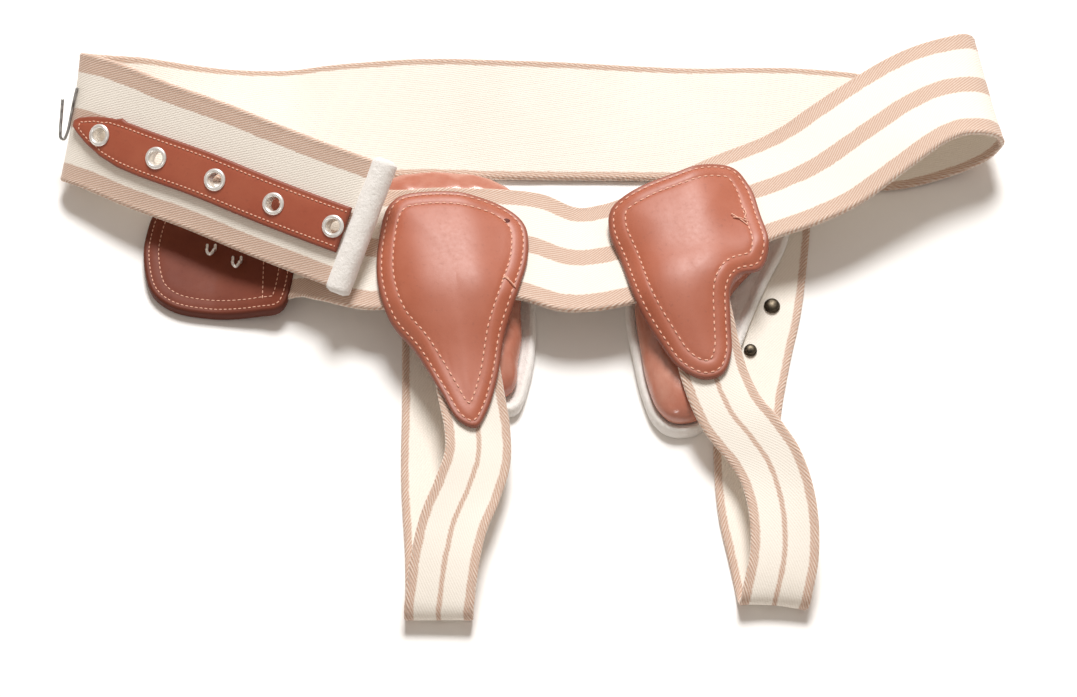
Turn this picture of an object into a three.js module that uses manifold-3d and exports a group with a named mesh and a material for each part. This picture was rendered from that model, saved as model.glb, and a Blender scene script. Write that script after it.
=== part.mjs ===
// A hernia belt lying on a table: one long strip of striped cotton webbing with a leather
// eyelet strip and a hook patch at its ends, two padded leather pelotes under its front,
// two leather shields over them, and two narrow thigh straps looping toward the viewer.
// Millimetres, +Z up, the belt's front (the wearer's outside) toward -Y.
import * as THREE from 'three';
import * as BufferGeometryUtils from 'three/addons/utils/BufferGeometryUtils.js';
import Module from 'manifold-3d';

const wasm = await Module();
wasm.setup();

// Driving dimensions
const SPAN = 470; // overall width of the belt as it lies, unit of every plan position
const PAD_H = 20; // height of a pelote from the table, unit of every height
const BAND_W = 65; // waist webbing
const BAND_T = 2.8;
const STRAP_W = 32; // thigh webbing
const STRAP_T = 2.2;
const CLEAR = 0.4; // air left between two neighbours
const LEATHER_T = 1.4; // one layer of leather
const SHIELD_T = 2.6; // two layers, turned and stitched
const SHIELD_RISE = 5; // how far a shield bulges above what it lies on
const FELT_T = 6; // felt base of a pelote
const RIM = 5; // felt showing round the leather of a pelote
const STRIP_W = 23; // eyelet strip
const STRIP_T = 2.4;
const EYELET_PITCH = 32.6;
const EYELET_HOLE_R = 3.35;
const EYELET_RING_R = 5.6;
const EYELET_WALL = 0.6;
const ROLL_R = 6.2; // felt roll at the end of the waist webbing
const ROLL_RUN = 2; // from the webbing's end to the middle of the roll
const WIRE_R = 0.75; // hook wire
const STUD_R = 4;

const MATERIALS = {
  webbing: { color: 0xf2ead2, roughness: 0.95, metalness: 0 },
  leather: { color: 0xa85a3c, roughness: 0.5, metalness: 0 },
  strip_leather: { color: 0x96482c, roughness: 0.45, metalness: 0 },
  patch_leather: { color: 0x6e3524, roughness: 0.5, metalness: 0 },
  felt: { color: 0xebe5dc, roughness: 1, metalness: 0 },
  nickel: { color: 0xc9c7c2, roughness: 0.25, metalness: 1 },
  bronze: { color: 0x4d4438, roughness: 0.4, metalness: 1 },
};

function table(columns, rows) {
  return rows.map((row) => Object.fromEntries(columns.map((name, i) => [name, row[i]])));
}

// Waist webbing, from the rolled end over the left fold, along the back, round the right
// fold and over the pelotes to the hook end. x and y are shares of SPAN, z of PAD_H.
// swing turns the width in plan and tip lifts its far edge, in degrees.
const HOOK_END_Z = (LEATHER_T + CLEAR + BAND_T / 2) / PAD_H;
const PATH_COLUMNS = ['x', 'y', 'z', 'swing', 'tip'];
const WAIST_PATH = table(PATH_COLUMNS, [
  [-0.178, 0.095, 2.0, -17, 24],
  [-0.209, 0.109, 1.95, -20, 28],
  [-0.279, 0.142, 1.85, -21, 29],
  [-0.347, 0.175, 1.8, -20, 29],
  [-0.411, 0.204, 1.7, -18, 30],
  [-0.462, 0.231, 1.58, -18, 30],
  [-0.483, 0.242, 1.45, -17, 30],
  [-0.493, 0.251, 1.2, -12, 29],
  [-0.484, 0.258, 0.9, -6, 27],
  [-0.458, 0.26, 0.78, 0, 25],
  [-0.419, 0.266, 0.53, 2, 16],
  [-0.381, 0.269, 0.3, 3, 8],
  [-0.345, 0.271, 0.14, 3, 1.5],
  [-0.302, 0.271, 0.09, 3, 0],
  [-0.266, 0.271, 0.1, 2, 0.5],
  [-0.221, 0.27, 0.275, 2, 7],
  [-0.132, 0.272, 0.4, 1, 10],
  [-0.04, 0.27, 0.4, 0, 11],
  [0.036, 0.27, 0.325, 0, 8],
  [0.098, 0.27, 0.25, -1, 5],
  [0.175, 0.27, 0.165, -1, 2],
  [0.26, 0.266, 0.3, -2, 7],
  [0.332, 0.26, 0.3, 0, 6.5],
  [0.372, 0.258, 0.2, 2, 4],
  [0.422, 0.27, 0.2, 3, 1],
  [0.458, 0.28, 0.385, 4, -2],
  [0.473, 0.285, 0.58, 4, -2],
  [0.48, 0.288, 0.9, 4.5, -3],
  [0.476, 0.286, 1.25, 6.5, -4.5],
  [0.462, 0.282, 1.52, 9.5, -7],
  [0.43, 0.275, 1.62, 16, -11],
  [0.396, 0.26, 1.56, 24, -14],
  [0.363, 0.238, 1.47, 30, -14],
  [0.328, 0.213, 1.34, 30, -11],
  [0.296, 0.191, 1.22, 26, -11],
  [0.26, 0.174, 1.08, 23, -14],
  [0.211, 0.156, 0.95, 22, -15],
  [0.151, 0.122, 0.98, 14, -12],
  [0.089, 0.092, 0.95, 6, -12],
  [0.034, 0.083, 0.97, 0, -7],
  [-0.011, 0.097, 1.05, 0, -6],
  [-0.092, 0.097, 1.15, 1, -4],
  [-0.165, 0.089, 1.2, 0.5, 3],
  [-0.206, 0.106, 0.9, -2, 2],
  [-0.243, 0.115, 0.68, -5, 2],
  [-0.289, 0.111, 0.32, -4, 0],
  [-0.335, 0.11, HOOK_END_Z, -3, 0],
  [-0.358, 0.11, HOOK_END_Z, -3, 0],
]);
const FRONT_FIRST_ROW = 33; // first row of the front stretch that shields and straps lie on
const FRONT_LAST_ROW = 44;

// Thigh straps, from the end under the shield down to the bottom fold and back along the
// table to the end under the pelote. Rows with seat = 1 lie on the waist webbing, and z
// counts from there.
const STRAP_COLUMNS = ['x', 'y', 'z', 'swing', 'tip', 'seat'];
const LEFT_STRAP_PATH = table(STRAP_COLUMNS, [
  [-0.096, 0.064, 0, 95, 0, 1],
  [-0.09, 0.034, 0, 97, 0, 1],
  [-0.082, 0.004, 1.27, 100, 0, 0],
  [-0.075, -0.036, 1.08, 102, 0, 0],
  [-0.068, -0.076, 0.96, 104, 6, 0],
  [-0.062, -0.109, 0.9, 100, 12, 0],
  [-0.061, -0.143, 0.87, 88, 16, 0],
  [-0.071, -0.179, 0.85, 72, 12, 0],
  [-0.084, -0.214, 0.84, 74, 6, 0],
  [-0.092, -0.253, 0.79, 82, 2, 0],
  [-0.096, -0.286, 0.65, 87, 0, 0],
  [-0.098, -0.302, 0.52, 89, 0, 0],
  [-0.098, -0.308, 0.35, 90, 0, 0],
  [-0.098, -0.302, 0.18, 90, 0, 0],
  [-0.098, -0.284, 0.08, 91, 0, 0],
  [-0.099, -0.24, 0.07, 92, 0, 0],
  [-0.105, -0.15, 0.07, 92, 0, 0],
  [-0.106, -0.06, 0.07, 91, 0, 0],
  [-0.108, 0.02, 0.07, 90, 0, 0],
  [-0.11, 0.09, 0.07, 90, 0, 0],
]);
const RIGHT_STRAP_PATH = table(STRAP_COLUMNS, [
  [0.148, 0.085, 0, 98, 0, 1],
  [0.157, 0.045, 0, 102, 0, 1],
  [0.164, 0.012, 1.33, 104, 0, 0],
  [0.172, -0.026, 1.14, 106, 0, 0],
  [0.181, -0.062, 1.02, 110, 0, 0],
  [0.195, -0.096, 0.98, 118, -12, 0],
  [0.2145, -0.124, 0.98, 122, -20, 0],
  [0.231, -0.152, 0.95, 113, -17, 0],
  [0.24, -0.182, 0.9, 100, -8, 0],
  [0.244, -0.22, 0.85, 91, -3, 0],
  [0.242, -0.253, 0.76, 86, 0, 0],
  [0.237, -0.276, 0.64, 84, 0, 0],
  [0.234, -0.288, 0.5, 85, 0, 0],
  [0.232, -0.292, 0.34, 87, 0, 0],
  [0.231, -0.286, 0.18, 91, 0, 0],
  [0.229, -0.27, 0.08, 95, 0, 0],
  [0.223, -0.235, 0.07, 96, 0, 0],
  [0.215, -0.19, 0.07, 95, 0, 0],
  [0.212, -0.14, 0.07, 91, 0, 0],
  [0.214, -0.08, 0.07, 84, 0, 0],
  [0.226, -0.015, 0.07, 80, 0, 0],
  [0.241, 0.05, 0.07, 80, 0, 0],
  [0.251, 0.12, 0.07, 82, 0, 0],
  [0.257, 0.172, 0.07, 84, 0, 0],
]);

// Pelote outlines in plan, as shares of SPAN. rim is how much felt shows round the
// leather there, as a share of RIM.
const PELOTE_COLUMNS = ['x', 'y', 'rim'];
const LEFT_PELOTE = {
  centre: [-0.085, 0.085],
  outline: table(PELOTE_COLUMNS, [
    [-0.158, 0.192, 0.2],
    [-0.112, 0.2, 0.15],
    [-0.06, 0.195, 0.15],
    [-0.022, 0.175, 0.4],
    [-0.006, 0.13, 1],
    [-0.004, 0.06, 1.6],
    [-0.003, 0, 2],
    [-0.008, -0.04, 2.2],
    [-0.023, -0.08, 1.8],
    [-0.042, -0.078, 1],
    [-0.062, -0.03, 1],
    [-0.1, 0.03, 1],
    [-0.145, 0.1, 1],
    [-0.167, 0.155, 0.6],
  ]),
};
const RIGHT_PELOTE = {
  centre: [0.165, 0.055],
  outline: table(PELOTE_COLUMNS, [
    [0.136, -0.105, 0.9],
    [0.119, -0.093, 1],
    [0.106, -0.06, 1],
    [0.097, -0.015, 1],
    [0.09, 0.03, 1],
    [0.094, 0.09, 1],
    [0.112, 0.15, 1],
    [0.16, 0.18, 1],
    [0.225, 0.178, 1.4],
    [0.266, 0.155, 2.6],
    [0.262, 0.12, 3],
    [0.239, 0.07, 3],
    [0.222, 0.03, 2.8],
    [0.206, -0.015, 2.4],
    [0.19, -0.06, 1.4],
    [0.166, -0.1, 0.9],
  ]),
};

// Shield outlines in plan, as shares of SPAN.
const LEFT_SHIELD = {
  centre: [-0.085, 0.05],
  outline: table(['x', 'y'], [
    [-0.146, 0.144],
    [-0.112, 0.151],
    [-0.07, 0.149],
    [-0.034, 0.139],
    [-0.014, 0.118],
    [-0.011, 0.078],
    [-0.021, 0.035],
    [-0.034, -0.01],
    [-0.042, -0.06],
    [-0.053, -0.098],
    [-0.063, -0.114],
    [-0.08, -0.108],
    [-0.098, -0.078],
    [-0.125, -0.032],
    [-0.152, 0.004],
    [-0.166, 0.05],
    [-0.165, 0.1],
    [-0.158, 0.131],
  ]),
};
const RIGHT_SHIELD = {
  centre: [0.15, 0.07],
  outline: table(['x', 'y'], [
    [0.076, 0.138],
    [0.104, 0.158],
    [0.145, 0.175],
    [0.183, 0.189],
    [0.207, 0.188],
    [0.222, 0.167],
    [0.231, 0.128],
    [0.238, 0.086],
    [0.229, 0.062],
    [0.207, 0.051],
    [0.197, 0.035],
    [0.196, 0],
    [0.196, -0.034],
    [0.187, -0.056],
    [0.168, -0.062],
    [0.143, -0.05],
    [0.122, -0.02],
    [0.1, 0.022],
    [0.085, 0.075],
    [0.0735, 0.112],
  ]),
};

// Hook patch in plan: along runs from its straight end toward the rounded one, across
// from the near edge to the far edge, both as shares of its own length and width.
const PATCH_L = 71;
const PATCH_W = BAND_W + 8;
const PATCH_END = -0.264; // x of the straight end, share of SPAN
const PATCH_MID = 0.11; // y of its middle, share of SPAN
const PATCH_OUTLINE = table(['along', 'across'], [
  [0, 0.03],
  [0.18, 0],
  [0.52, 0.005],
  [0.78, 0.06],
  [0.93, 0.18],
  [1, 0.42],
  [1, 0.6],
  [0.93, 0.84],
  [0.78, 0.95],
  [0.52, 1],
  [0.18, 1],
  [0, 0.97],
]);

const toRadians = THREE.MathUtils.degToRad;

function finish(name, geometry, material) {
  const mesh = new THREE.Mesh(geometry, new THREE.MeshStandardMaterial(MATERIALS[material]));
  mesh.name = name;
  return mesh;
}

function signedVolume(positions, index) {
  let total = 0;
  const [a, b, c] = [new THREE.Vector3(), new THREE.Vector3(), new THREE.Vector3()];
  for (let i = 0; i < index.length; i += 3) {
    a.fromArray(positions, 3 * index[i]);
    b.fromArray(positions, 3 * index[i + 1]);
    c.fromArray(positions, 3 * index[i + 2]);
    total += a.dot(b.cross(c));
  }
  return total;
}

// A closed body from points and triangles, turned so that its faces point out.
function closedBody(points, triangles) {
  const positions = points.flatMap((p) => [p.x, p.y, p.z]);
  const index = triangles.flat();
  if (signedVolume(positions, index) < 0) {
    for (let i = 0; i < index.length; i += 3) {
      [index[i + 1], index[i + 2]] = [index[i + 2], index[i + 1]];
    }
  }
  const geometry = new THREE.BufferGeometry();
  geometry.setAttribute('position', new THREE.Float32BufferAttribute(positions, 3));
  geometry.setIndex(index);
  geometry.computeVertexNormals();
  return geometry;
}

// Rings of equal count joined side by side, with the first and last ring closed flat.
function loft(rings) {
  const count = rings[0].length;
  const triangles = [];
  for (let r = 0; r + 1 < rings.length; r += 1) {
    for (let i = 0; i < count; i += 1) {
      const j = (i + 1) % count;
      const [a, b] = [r * count + i, r * count + j];
      triangles.push([a, b, b + count], [a, b + count, a + count]);
    }
  }
  const last = (rings.length - 1) * count;
  for (let i = 1; i + 1 < count; i += 1) {
    triangles.push([0, i + 1, i], [last, last + i, last + i + 1]);
  }
  return closedBody(rings.flat(), triangles);
}

function toSolid(geometry) {
  const bare = geometry.clone();
  bare.deleteAttribute('normal');
  bare.deleteAttribute('uv');
  const merged = BufferGeometryUtils.mergeVertices(bare, 1e-4);
  return new wasm.Manifold(new wasm.Mesh({
    numProp: 3,
    vertProperties: new Float32Array(merged.attributes.position.array),
    triVerts: new Uint32Array(merged.index.array),
  }));
}

function toGeometry(solid) {
  const mesh = solid.getMesh();
  const geometry = new THREE.BufferGeometry();
  const positions = new THREE.Float32BufferAttribute(mesh.vertProperties, 3);
  geometry.setAttribute('position', positions);
  geometry.setIndex(Array.from(mesh.triVerts));
  geometry.computeVertexNormals();
  return geometry;
}

// Cuts the tools out of a body and keeps its largest piece.
function cut(geometry, tools) {
  let solid = toSolid(geometry);
  for (const tool of tools) solid = solid.subtract(toSolid(tool));
  const pieces = solid.decompose();
  pieces.sort((a, b) => b.volume() - a.volume());
  return toGeometry(pieces[0]);
}

function widthDirection(swing, tip) {
  const [s, t] = [toRadians(swing), toRadians(tip)];
  return new THREE.Vector3(-Math.sin(s) * Math.cos(t), Math.cos(s) * Math.cos(t), Math.sin(t));
}

// A ribbon of webbing: sections along a path, each with its centre, its width direction
// and its outward direction, and the length run so far.
class Ribbon {
  constructor(rows, width, thickness, stepsPerRow) {
    this.width = width;
    this.thickness = thickness;
    this.stepsPerRow = stepsPerRow;
    const centres = rows.map((r) => new THREE.Vector3(r.x * SPAN, r.y * SPAN, r.z * PAD_H));
    const widths = rows.map((r) => widthDirection(r.swing, r.tip));
    this.centreCurve = new THREE.CatmullRomCurve3(centres, false, 'centripetal');
    this.widthCurve = new THREE.CatmullRomCurve3(widths, false, 'centripetal');
    this.rowCount = rows.length;
    this.sections = [];
    const steps = (rows.length - 1) * stepsPerRow;
    let run = 0;
    for (let i = 0; i <= steps; i += 1) {
      const section = this.sectionAt(i / steps);
      if (i > 0) run += section.centre.distanceTo(this.sections[i - 1].centre);
      section.run = run;
      this.sections.push(section);
    }
    this.length = run;
  }

  sectionAt(t) {
    const centre = this.centreCurve.getPoint(t);
    const tangent = this.centreCurve.getTangent(t);
    const across = this.widthCurve.getPoint(t);
    across.addScaledVector(tangent, -across.dot(tangent)).normalize();
    const outward = new THREE.Vector3().crossVectors(across, tangent).normalize();
    return { centre, tangent, across, outward };
  }

  // The frame at a distance along the ribbon, between its two nearest sections.
  frameAt(run) {
    const limit = this.sections.length - 2;
    let i = this.sections.findIndex((s) => s.run > run) - 1;
    if (i < 0) i = run <= 0 ? 0 : limit;
    i = Math.min(i, limit);
    const [a, b] = [this.sections[i], this.sections[i + 1]];
    const f = (run - a.run) / (b.run - a.run);
    const mix = (key) => a[key].clone().lerp(b[key], f);
    return {
      centre: mix('centre'),
      tangent: mix('tangent').normalize(),
      across: mix('across').normalize(),
      outward: mix('outward').normalize(),
    };
  }

  point(run, across, offset) {
    const frame = this.frameAt(run);
    return frame.centre
      .addScaledVector(frame.across, across)
      .addScaledVector(frame.outward, offset);
  }

  // The webbing grown by a margin on every side, as a closed body.
  body(margin = 0, first = 0, last = this.sections.length - 1) {
    const [w, t] = [this.width / 2 + margin, this.thickness / 2 + margin];
    const used = this.sections.slice(first, last + 1);
    const rings = used.map((s) => [[-w, -t], [w, -t], [w, t], [-w, t]].map(([a, o]) => (
      s.centre.clone().addScaledVector(s.across, a).addScaledVector(s.outward, o))));
    if (margin > 0) {
      const push = (ring, section, way) => ring.map((p) => (
        p.clone().addScaledVector(section.tangent, way * margin)));
      rings[0] = push(rings[0], used[0], -1);
      rings[rings.length - 1] = push(rings[rings.length - 1], used[used.length - 1], 1);
    }
    return loft(rings);
  }

  // Height of the outer face above a plan point, between two rows, sloping away outside
  // the webbing so that what is draped over it falls gently.
  topAt(x, y, firstRow, lastRow, slope) {
    const first = firstRow * this.stepsPerRow;
    const last = lastRow * this.stepsPerRow;
    const ahead = (s) => (
      ((x - s.centre.x) * s.tangent.x + (y - s.centre.y) * s.tangent.y)
      / Math.hypot(s.tangent.x, s.tangent.y));
    let i = first;
    while (i < last - 1 && ahead(this.sections[i + 1]) > 0) i += 1;
    const [a, b] = [this.sections[i], this.sections[i + 1]];
    const f = THREE.MathUtils.clamp(ahead(a) / (ahead(a) - ahead(b)), 0, 1);
    const centre = a.centre.clone().lerp(b.centre, f);
    const across = a.across.clone().lerp(b.across, f);
    const outward = a.outward.clone().lerp(b.outward, f);
    const side = ((x - centre.x) * across.x + (y - centre.y) * across.y)
      / (across.x ** 2 + across.y ** 2);
    const outside = Math.max(0, Math.abs(side) - this.width / 2);
    const inside = THREE.MathUtils.clamp(side, -this.width / 2, this.width / 2);
    return centre.z + inside * across.z + (this.thickness / 2) * outward.z - slope * outside;
  }
}

function smoothOutline(rows, count) {
  const points = rows.map((r) => new THREE.Vector3(r.x * SPAN, r.y * SPAN, 0));
  return new THREE.CatmullRomCurve3(points, true, 'centripetal').getSpacedPoints(count).slice(0, count);
}

// A plate over a star-shaped outline: rings from the rim to the middle, with heights of
// its two faces given by functions of the plan point and the ring's share f of the rim.
function plate(rim, centre, rings, top, bottom) {
  const middle = new THREE.Vector3(centre[0] * SPAN, centre[1] * SPAN, 0);
  const count = rim.length;
  const points = [];
  const sides = [top, bottom];
  for (const height of sides) {
    for (const f of rings) {
      for (const p of rim) {
        const q = middle.clone().lerp(p, f);
        points.push(new THREE.Vector3(q.x, q.y, height(q.x, q.y, f)));
      }
    }
    points.push(new THREE.Vector3(middle.x, middle.y, height(middle.x, middle.y, 0)));
  }
  const triangles = [];
  const perSide = rings.length * count + 1;
  sides.forEach((_, side) => {
    const base = side * perSide;
    const put = (a, b, c) => triangles.push(side === 0 ? [a, b, c] : [a, c, b]);
    for (let r = 0; r + 1 < rings.length; r += 1) {
      for (let i = 0; i < count; i += 1) {
        const j = (i + 1) % count;
        const [a, b] = [base + r * count + i, base + r * count + j];
        put(a, b, b + count);
        put(a, b + count, a + count);
      }
    }
    const inner = base + (rings.length - 1) * count;
    for (let i = 0; i < count; i += 1) {
      put(inner + i, inner + ((i + 1) % count), base + perSide - 1);
    }
  });
  for (let i = 0; i < count; i += 1) {
    const j = (i + 1) % count;
    triangles.push([i, perSide + i, perSide + j], [i, perSide + j, j]);
  }
  return closedBody(points, triangles);
}

// Bent wire with rounded bends: a round section carried along a curve.
function wire(points, radius, steps) {
  const shape = new THREE.Shape();
  shape.absarc(0, 0, radius, 0, 2 * Math.PI, false);
  const path = new THREE.CatmullRomCurve3(points, false, 'centripetal');
  return new THREE.ExtrudeGeometry(shape, {
    steps, extrudePath: path, curveSegments: 4, bevelEnabled: false,
  });
}

function placed(geometry, origin, xAxis, yAxis, zAxis) {
  const matrix = new THREE.Matrix4().makeBasis(xAxis, yAxis, zAxis).setPosition(origin);
  return geometry.applyMatrix4(matrix);
}

// Waist webbing and what is fixed along it
const waist = new Ribbon(WAIST_PATH, BAND_W, BAND_T, 2);

const STRIP_START = ROLL_RUN + ROLL_R + CLEAR; // where the square end of the eyelet strip sits
const STRIP_END_GAP = 17; // strip beyond the last eyelet, to its pointed tip
const FIRST_EYELET = STRIP_START + 5.5;
const STRIP_SHIFT = -4.5; // strip centre from the webbing's centre, toward the near edge
const STRIP_LENGTH = FIRST_EYELET - STRIP_START + 4 * EYELET_PITCH + STRIP_END_GAP;
const STRIP_LIFT = BAND_T / 2 + CLEAR + STRIP_T / 2;
const STRIP_PROFILE = table(['along', 'half', 'shift'], [
  [0, 0.5, 0],
  [0.12, 0.5, 0],
  [0.24, 0.5, 0],
  [0.36, 0.5, 0],
  [0.48, 0.5, 0],
  [0.6, 0.5, 0],
  [0.7, 0.5, 0],
  [0.8, 0.49, 0],
  [0.87, 0.43, 0.01],
  [0.93, 0.31, 0.03],
  [0.975, 0.17, 0.06],
  [1, 0.06, 0.08],
]);

function stripBody() {
  const profile = [];
  STRIP_PROFILE.forEach((row, i) => {
    profile.push(row);
    const next = STRIP_PROFILE[i + 1];
    if (next) {
      profile.push({
        along: (row.along + next.along) / 2,
        half: (row.half + next.half) / 2,
        shift: (row.shift + next.shift) / 2,
      });
    }
  });
  return loft(profile.map((row) => {
    const run = STRIP_START + row.along * STRIP_LENGTH;
    const [w, t] = [row.half * STRIP_W, STRIP_T / 2];
    const middle = STRIP_SHIFT + row.shift * STRIP_W;
    return [[-w, -t], [w, -t], [w, t], [-w, t]].map(([a, o]) => (
      waist.point(run, middle + a, STRIP_LIFT + o)));
  }));
}

// Each eyelet stands on the strip, its barrel running down through strip and webbing.
const eyeletFrames = [0, 1, 2, 3, 4].map((i) => {
  const run = FIRST_EYELET + i * EYELET_PITCH;
  const frame = waist.frameAt(run);
  return { ...frame, origin: waist.point(run, STRIP_SHIFT, 0) };
});

function eyeletBody(frame) {
  const top = STRIP_LIFT + STRIP_T / 2 + CLEAR;
  const under = -BAND_T / 2 - CLEAR;
  const barrel = EYELET_HOLE_R + EYELET_WALL;
  const profile = [
    [EYELET_HOLE_R, under - EYELET_WALL], [barrel + 1, under - EYELET_WALL],
    [barrel + 1, under], [barrel, under], [barrel, top],
    [EYELET_RING_R, top], [EYELET_RING_R - 0.4, top + 0.7], [EYELET_HOLE_R + 0.9, top + 1.1],
    [EYELET_HOLE_R, top + 0.5], [EYELET_HOLE_R, under - EYELET_WALL],
  ].map(([r, z]) => new THREE.Vector2(r, z));
  const ring = new THREE.LatheGeometry(profile, 16).rotateX(Math.PI / 2);
  return placed(ring, frame.origin, frame.across, frame.tangent, frame.outward);
}

function eyeletDrill(frame) {
  const radius = EYELET_HOLE_R + EYELET_WALL + CLEAR;
  const drill = new THREE.CylinderGeometry(radius, radius, 20, 16).rotateX(Math.PI / 2);
  return placed(drill, frame.origin, frame.across, frame.tangent, frame.outward);
}

const drills = eyeletFrames.map(eyeletDrill);

function rollBody() {
  const start = waist.frameAt(ROLL_RUN);
  const length = BAND_W + 4;
  const rings = [-0.5, -0.25, 0, 0.25, 0.5].map((share) => {
    const ends = Math.abs(share) === 0.5 ? 0.88 : 1;
    return Array.from({ length: 20 }, (_, i) => {
      const angle = (i / 20) * 2 * Math.PI;
      return start.centre.clone()
        .addScaledVector(start.across, share * length)
        .addScaledVector(start.tangent, ends * ROLL_R * Math.cos(angle))
        .addScaledVector(start.outward, ends * ROLL_R * Math.sin(angle));
    });
  });
  return cut(loft(rings), [waist.body(CLEAR, 0, 8)]);
}

const PATCH_THICK = 2 * (LEATHER_T + CLEAR) + BAND_T;

function patchTop(x, y) {
  const webbing = waist.topAt(x, y, FRONT_LAST_ROW, WAIST_PATH.length - 1, 0.05);
  return Math.max(PATCH_THICK, webbing + CLEAR + LEATHER_T);
}

function patchBody() {
  const rows = PATCH_OUTLINE.map((r) => ({
    x: PATCH_END - (r.along * PATCH_L) / SPAN,
    y: PATCH_MID + ((r.across - 0.5) * PATCH_W) / SPAN,
  }));
  const rim = smoothOutline(rows, 40);
  const centre = [PATCH_END - (0.5 * PATCH_L) / SPAN, PATCH_MID];
  const top = (x, y, f) => patchTop(x, y) - (f > 0.99 ? 0.8 : 0);
  const bottom = (x, y) => Math.max(0, patchTop(x, y) - PATCH_THICK);
  const solid = plate(rim, centre, [1, 0.96, 0.85, 0.7, 0.5, 0.3], top, bottom);
  const first = FRONT_LAST_ROW * waist.stepsPerRow;
  return cut(solid, [waist.body(CLEAR, first)]);
}

// Hooks of bent wire on the patch, standing up and bending toward its near edge.
function patchHook(x, y) {
  const [px, py] = [x * SPAN, y * SPAN];
  const floor = Math.max(patchTop(px, py), patchTop(px, py + 4)) + CLEAR + WIRE_R + 0.2;
  const points = [
    [3.5, -2, 0], [0.5, -2, 0], [-0.6, -2, 1.6], [-1.2, -1.8, 3], [-3.4, -1.2, 4],
    [-4.6, 0, 4], [-3.4, 1.2, 4], [-1.2, 1.8, 3], [-0.6, 2, 1.6], [0.5, 2, 0], [3.5, 2, 0],
  ].map(([a, b, c]) => new THREE.Vector3(px + b, py + a, floor + c));
  return wire(points, WIRE_R, 18);
}

// The hook on the webbing's outer face at the left fold.
const SIDE_HOOK_RUN = 165.5;
function sideHookBody() {
  const base = BAND_T / 2 + WIRE_R;
  const points = [
    [15, 0], [8, 0.2], [0, 0.2], [-8, 0.4], [-11.6, 1.4], [-11.4, 3], [-8, 4], [0, 5], [8, 6],
  ].map(([across, lift]) => waist.point(SIDE_HOOK_RUN, across, base + lift));
  return wire(points, WIRE_R, 20);
}

// Thigh straps. A seated row takes its height and its tilt from the waist webbing.
function seatStrap(rows) {
  const topAt = (x, y) => waist.topAt(x, y, FRONT_FIRST_ROW, FRONT_LAST_ROW, 0.1);
  return rows.map((r) => {
    if (!r.seat) return r;
    const [x, y] = [r.x * SPAN, r.y * SPAN];
    const side = widthDirection(r.swing, 0).multiplyScalar(STRAP_W / 2);
    const [low, high] = [topAt(x - side.x, y - side.y), topAt(x + side.x, y + side.y)];
    const top = Math.max(topAt(x, y), (low + high) / 2);
    const tip = THREE.MathUtils.radToDeg(Math.atan2(high - low, STRAP_W));
    return { ...r, tip, z: (top + 2 * CLEAR + STRAP_T / 2) / PAD_H };
  });
}
const leftStrap = new Ribbon(seatStrap(LEFT_STRAP_PATH), STRAP_W, STRAP_T, 2);
const rightStrap = new Ribbon(seatStrap(RIGHT_STRAP_PATH), STRAP_W, STRAP_T, 2);
const STRAP_FRONT_ROWS = 8;

// Height of what a shield lies on: the waist webbing and its thigh strap.
function drapedOver(strap) {
  return (x, y) => Math.max(
    waist.topAt(x, y, FRONT_FIRST_ROW, FRONT_LAST_ROW, 0.35),
    strap.topAt(x, y, 0, STRAP_FRONT_ROWS, 0.35),
  );
}

function shieldBody(shield, strap) {
  const rim = smoothOutline(shield.outline, 44);
  const support = drapedOver(strap);
  const under = (x, y, f) => support(x, y) + 2 * CLEAR + SHIELD_RISE * (1 - f ** 2.5);
  const over = (x, y, f) => under(x, y, f) + (f > 0.99 ? 0.6 : 1) * SHIELD_T;
  const solid = plate(rim, shield.centre, [1, 0.96, 0.82, 0.64, 0.44, 0.22], over, under);
  const front = [FRONT_FIRST_ROW - 2, FRONT_LAST_ROW].map((r) => r * waist.stepsPerRow);
  return cut(solid, [waist.body(CLEAR, ...front), strap.body(CLEAR)]);
}

// Pelotes: a felt base flattened on the table and a domed leather pad on it
function rimOfLeather(pelote, count) {
  const felt = smoothOutline(pelote.outline, count);
  const middle = new THREE.Vector3(pelote.centre[0] * SPAN, pelote.centre[1] * SPAN, 0);
  return felt.map((p) => {
    const nearest = pelote.outline.reduce((best, r) => {
      const gap = Math.hypot(r.x * SPAN - p.x, r.y * SPAN - p.y);
      const weight = 1 / (gap + 2) ** 3;
      return { sum: best.sum + weight * r.rim, weight: best.weight + weight };
    }, { sum: 0, weight: 0 });
    const inset = (nearest.sum / nearest.weight) * RIM;
    const reach = p.distanceTo(middle);
    return middle.clone().lerp(p, (reach - inset) / reach);
  });
}

function feltBody(pelote, straps) {
  const rim = smoothOutline(pelote.outline, 36);
  const top = (x, y, f) => (f > 0.99 ? FELT_T - 1 : FELT_T);
  const bottom = () => 0;
  const solid = plate(rim, pelote.centre, [1, 0.95, 0.5], top, bottom);
  return cut(solid, [waist.body(CLEAR), ...straps.map((s) => s.body(CLEAR))]);
}

function padBody(pelote, straps) {
  const rim = rimOfLeather(pelote, 36);
  const base = FELT_T + CLEAR;
  const top = (x, y, f) => base + 2.4 + (PAD_H - base - 2.4) * (1 - f ** 3.2);
  const solid = plate(rim, pelote.centre, [1, 0.93, 0.82, 0.66, 0.4], top, () => base);
  return cut(solid, [waist.body(CLEAR), ...straps.map((s) => s.body(CLEAR))]);
}

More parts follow.
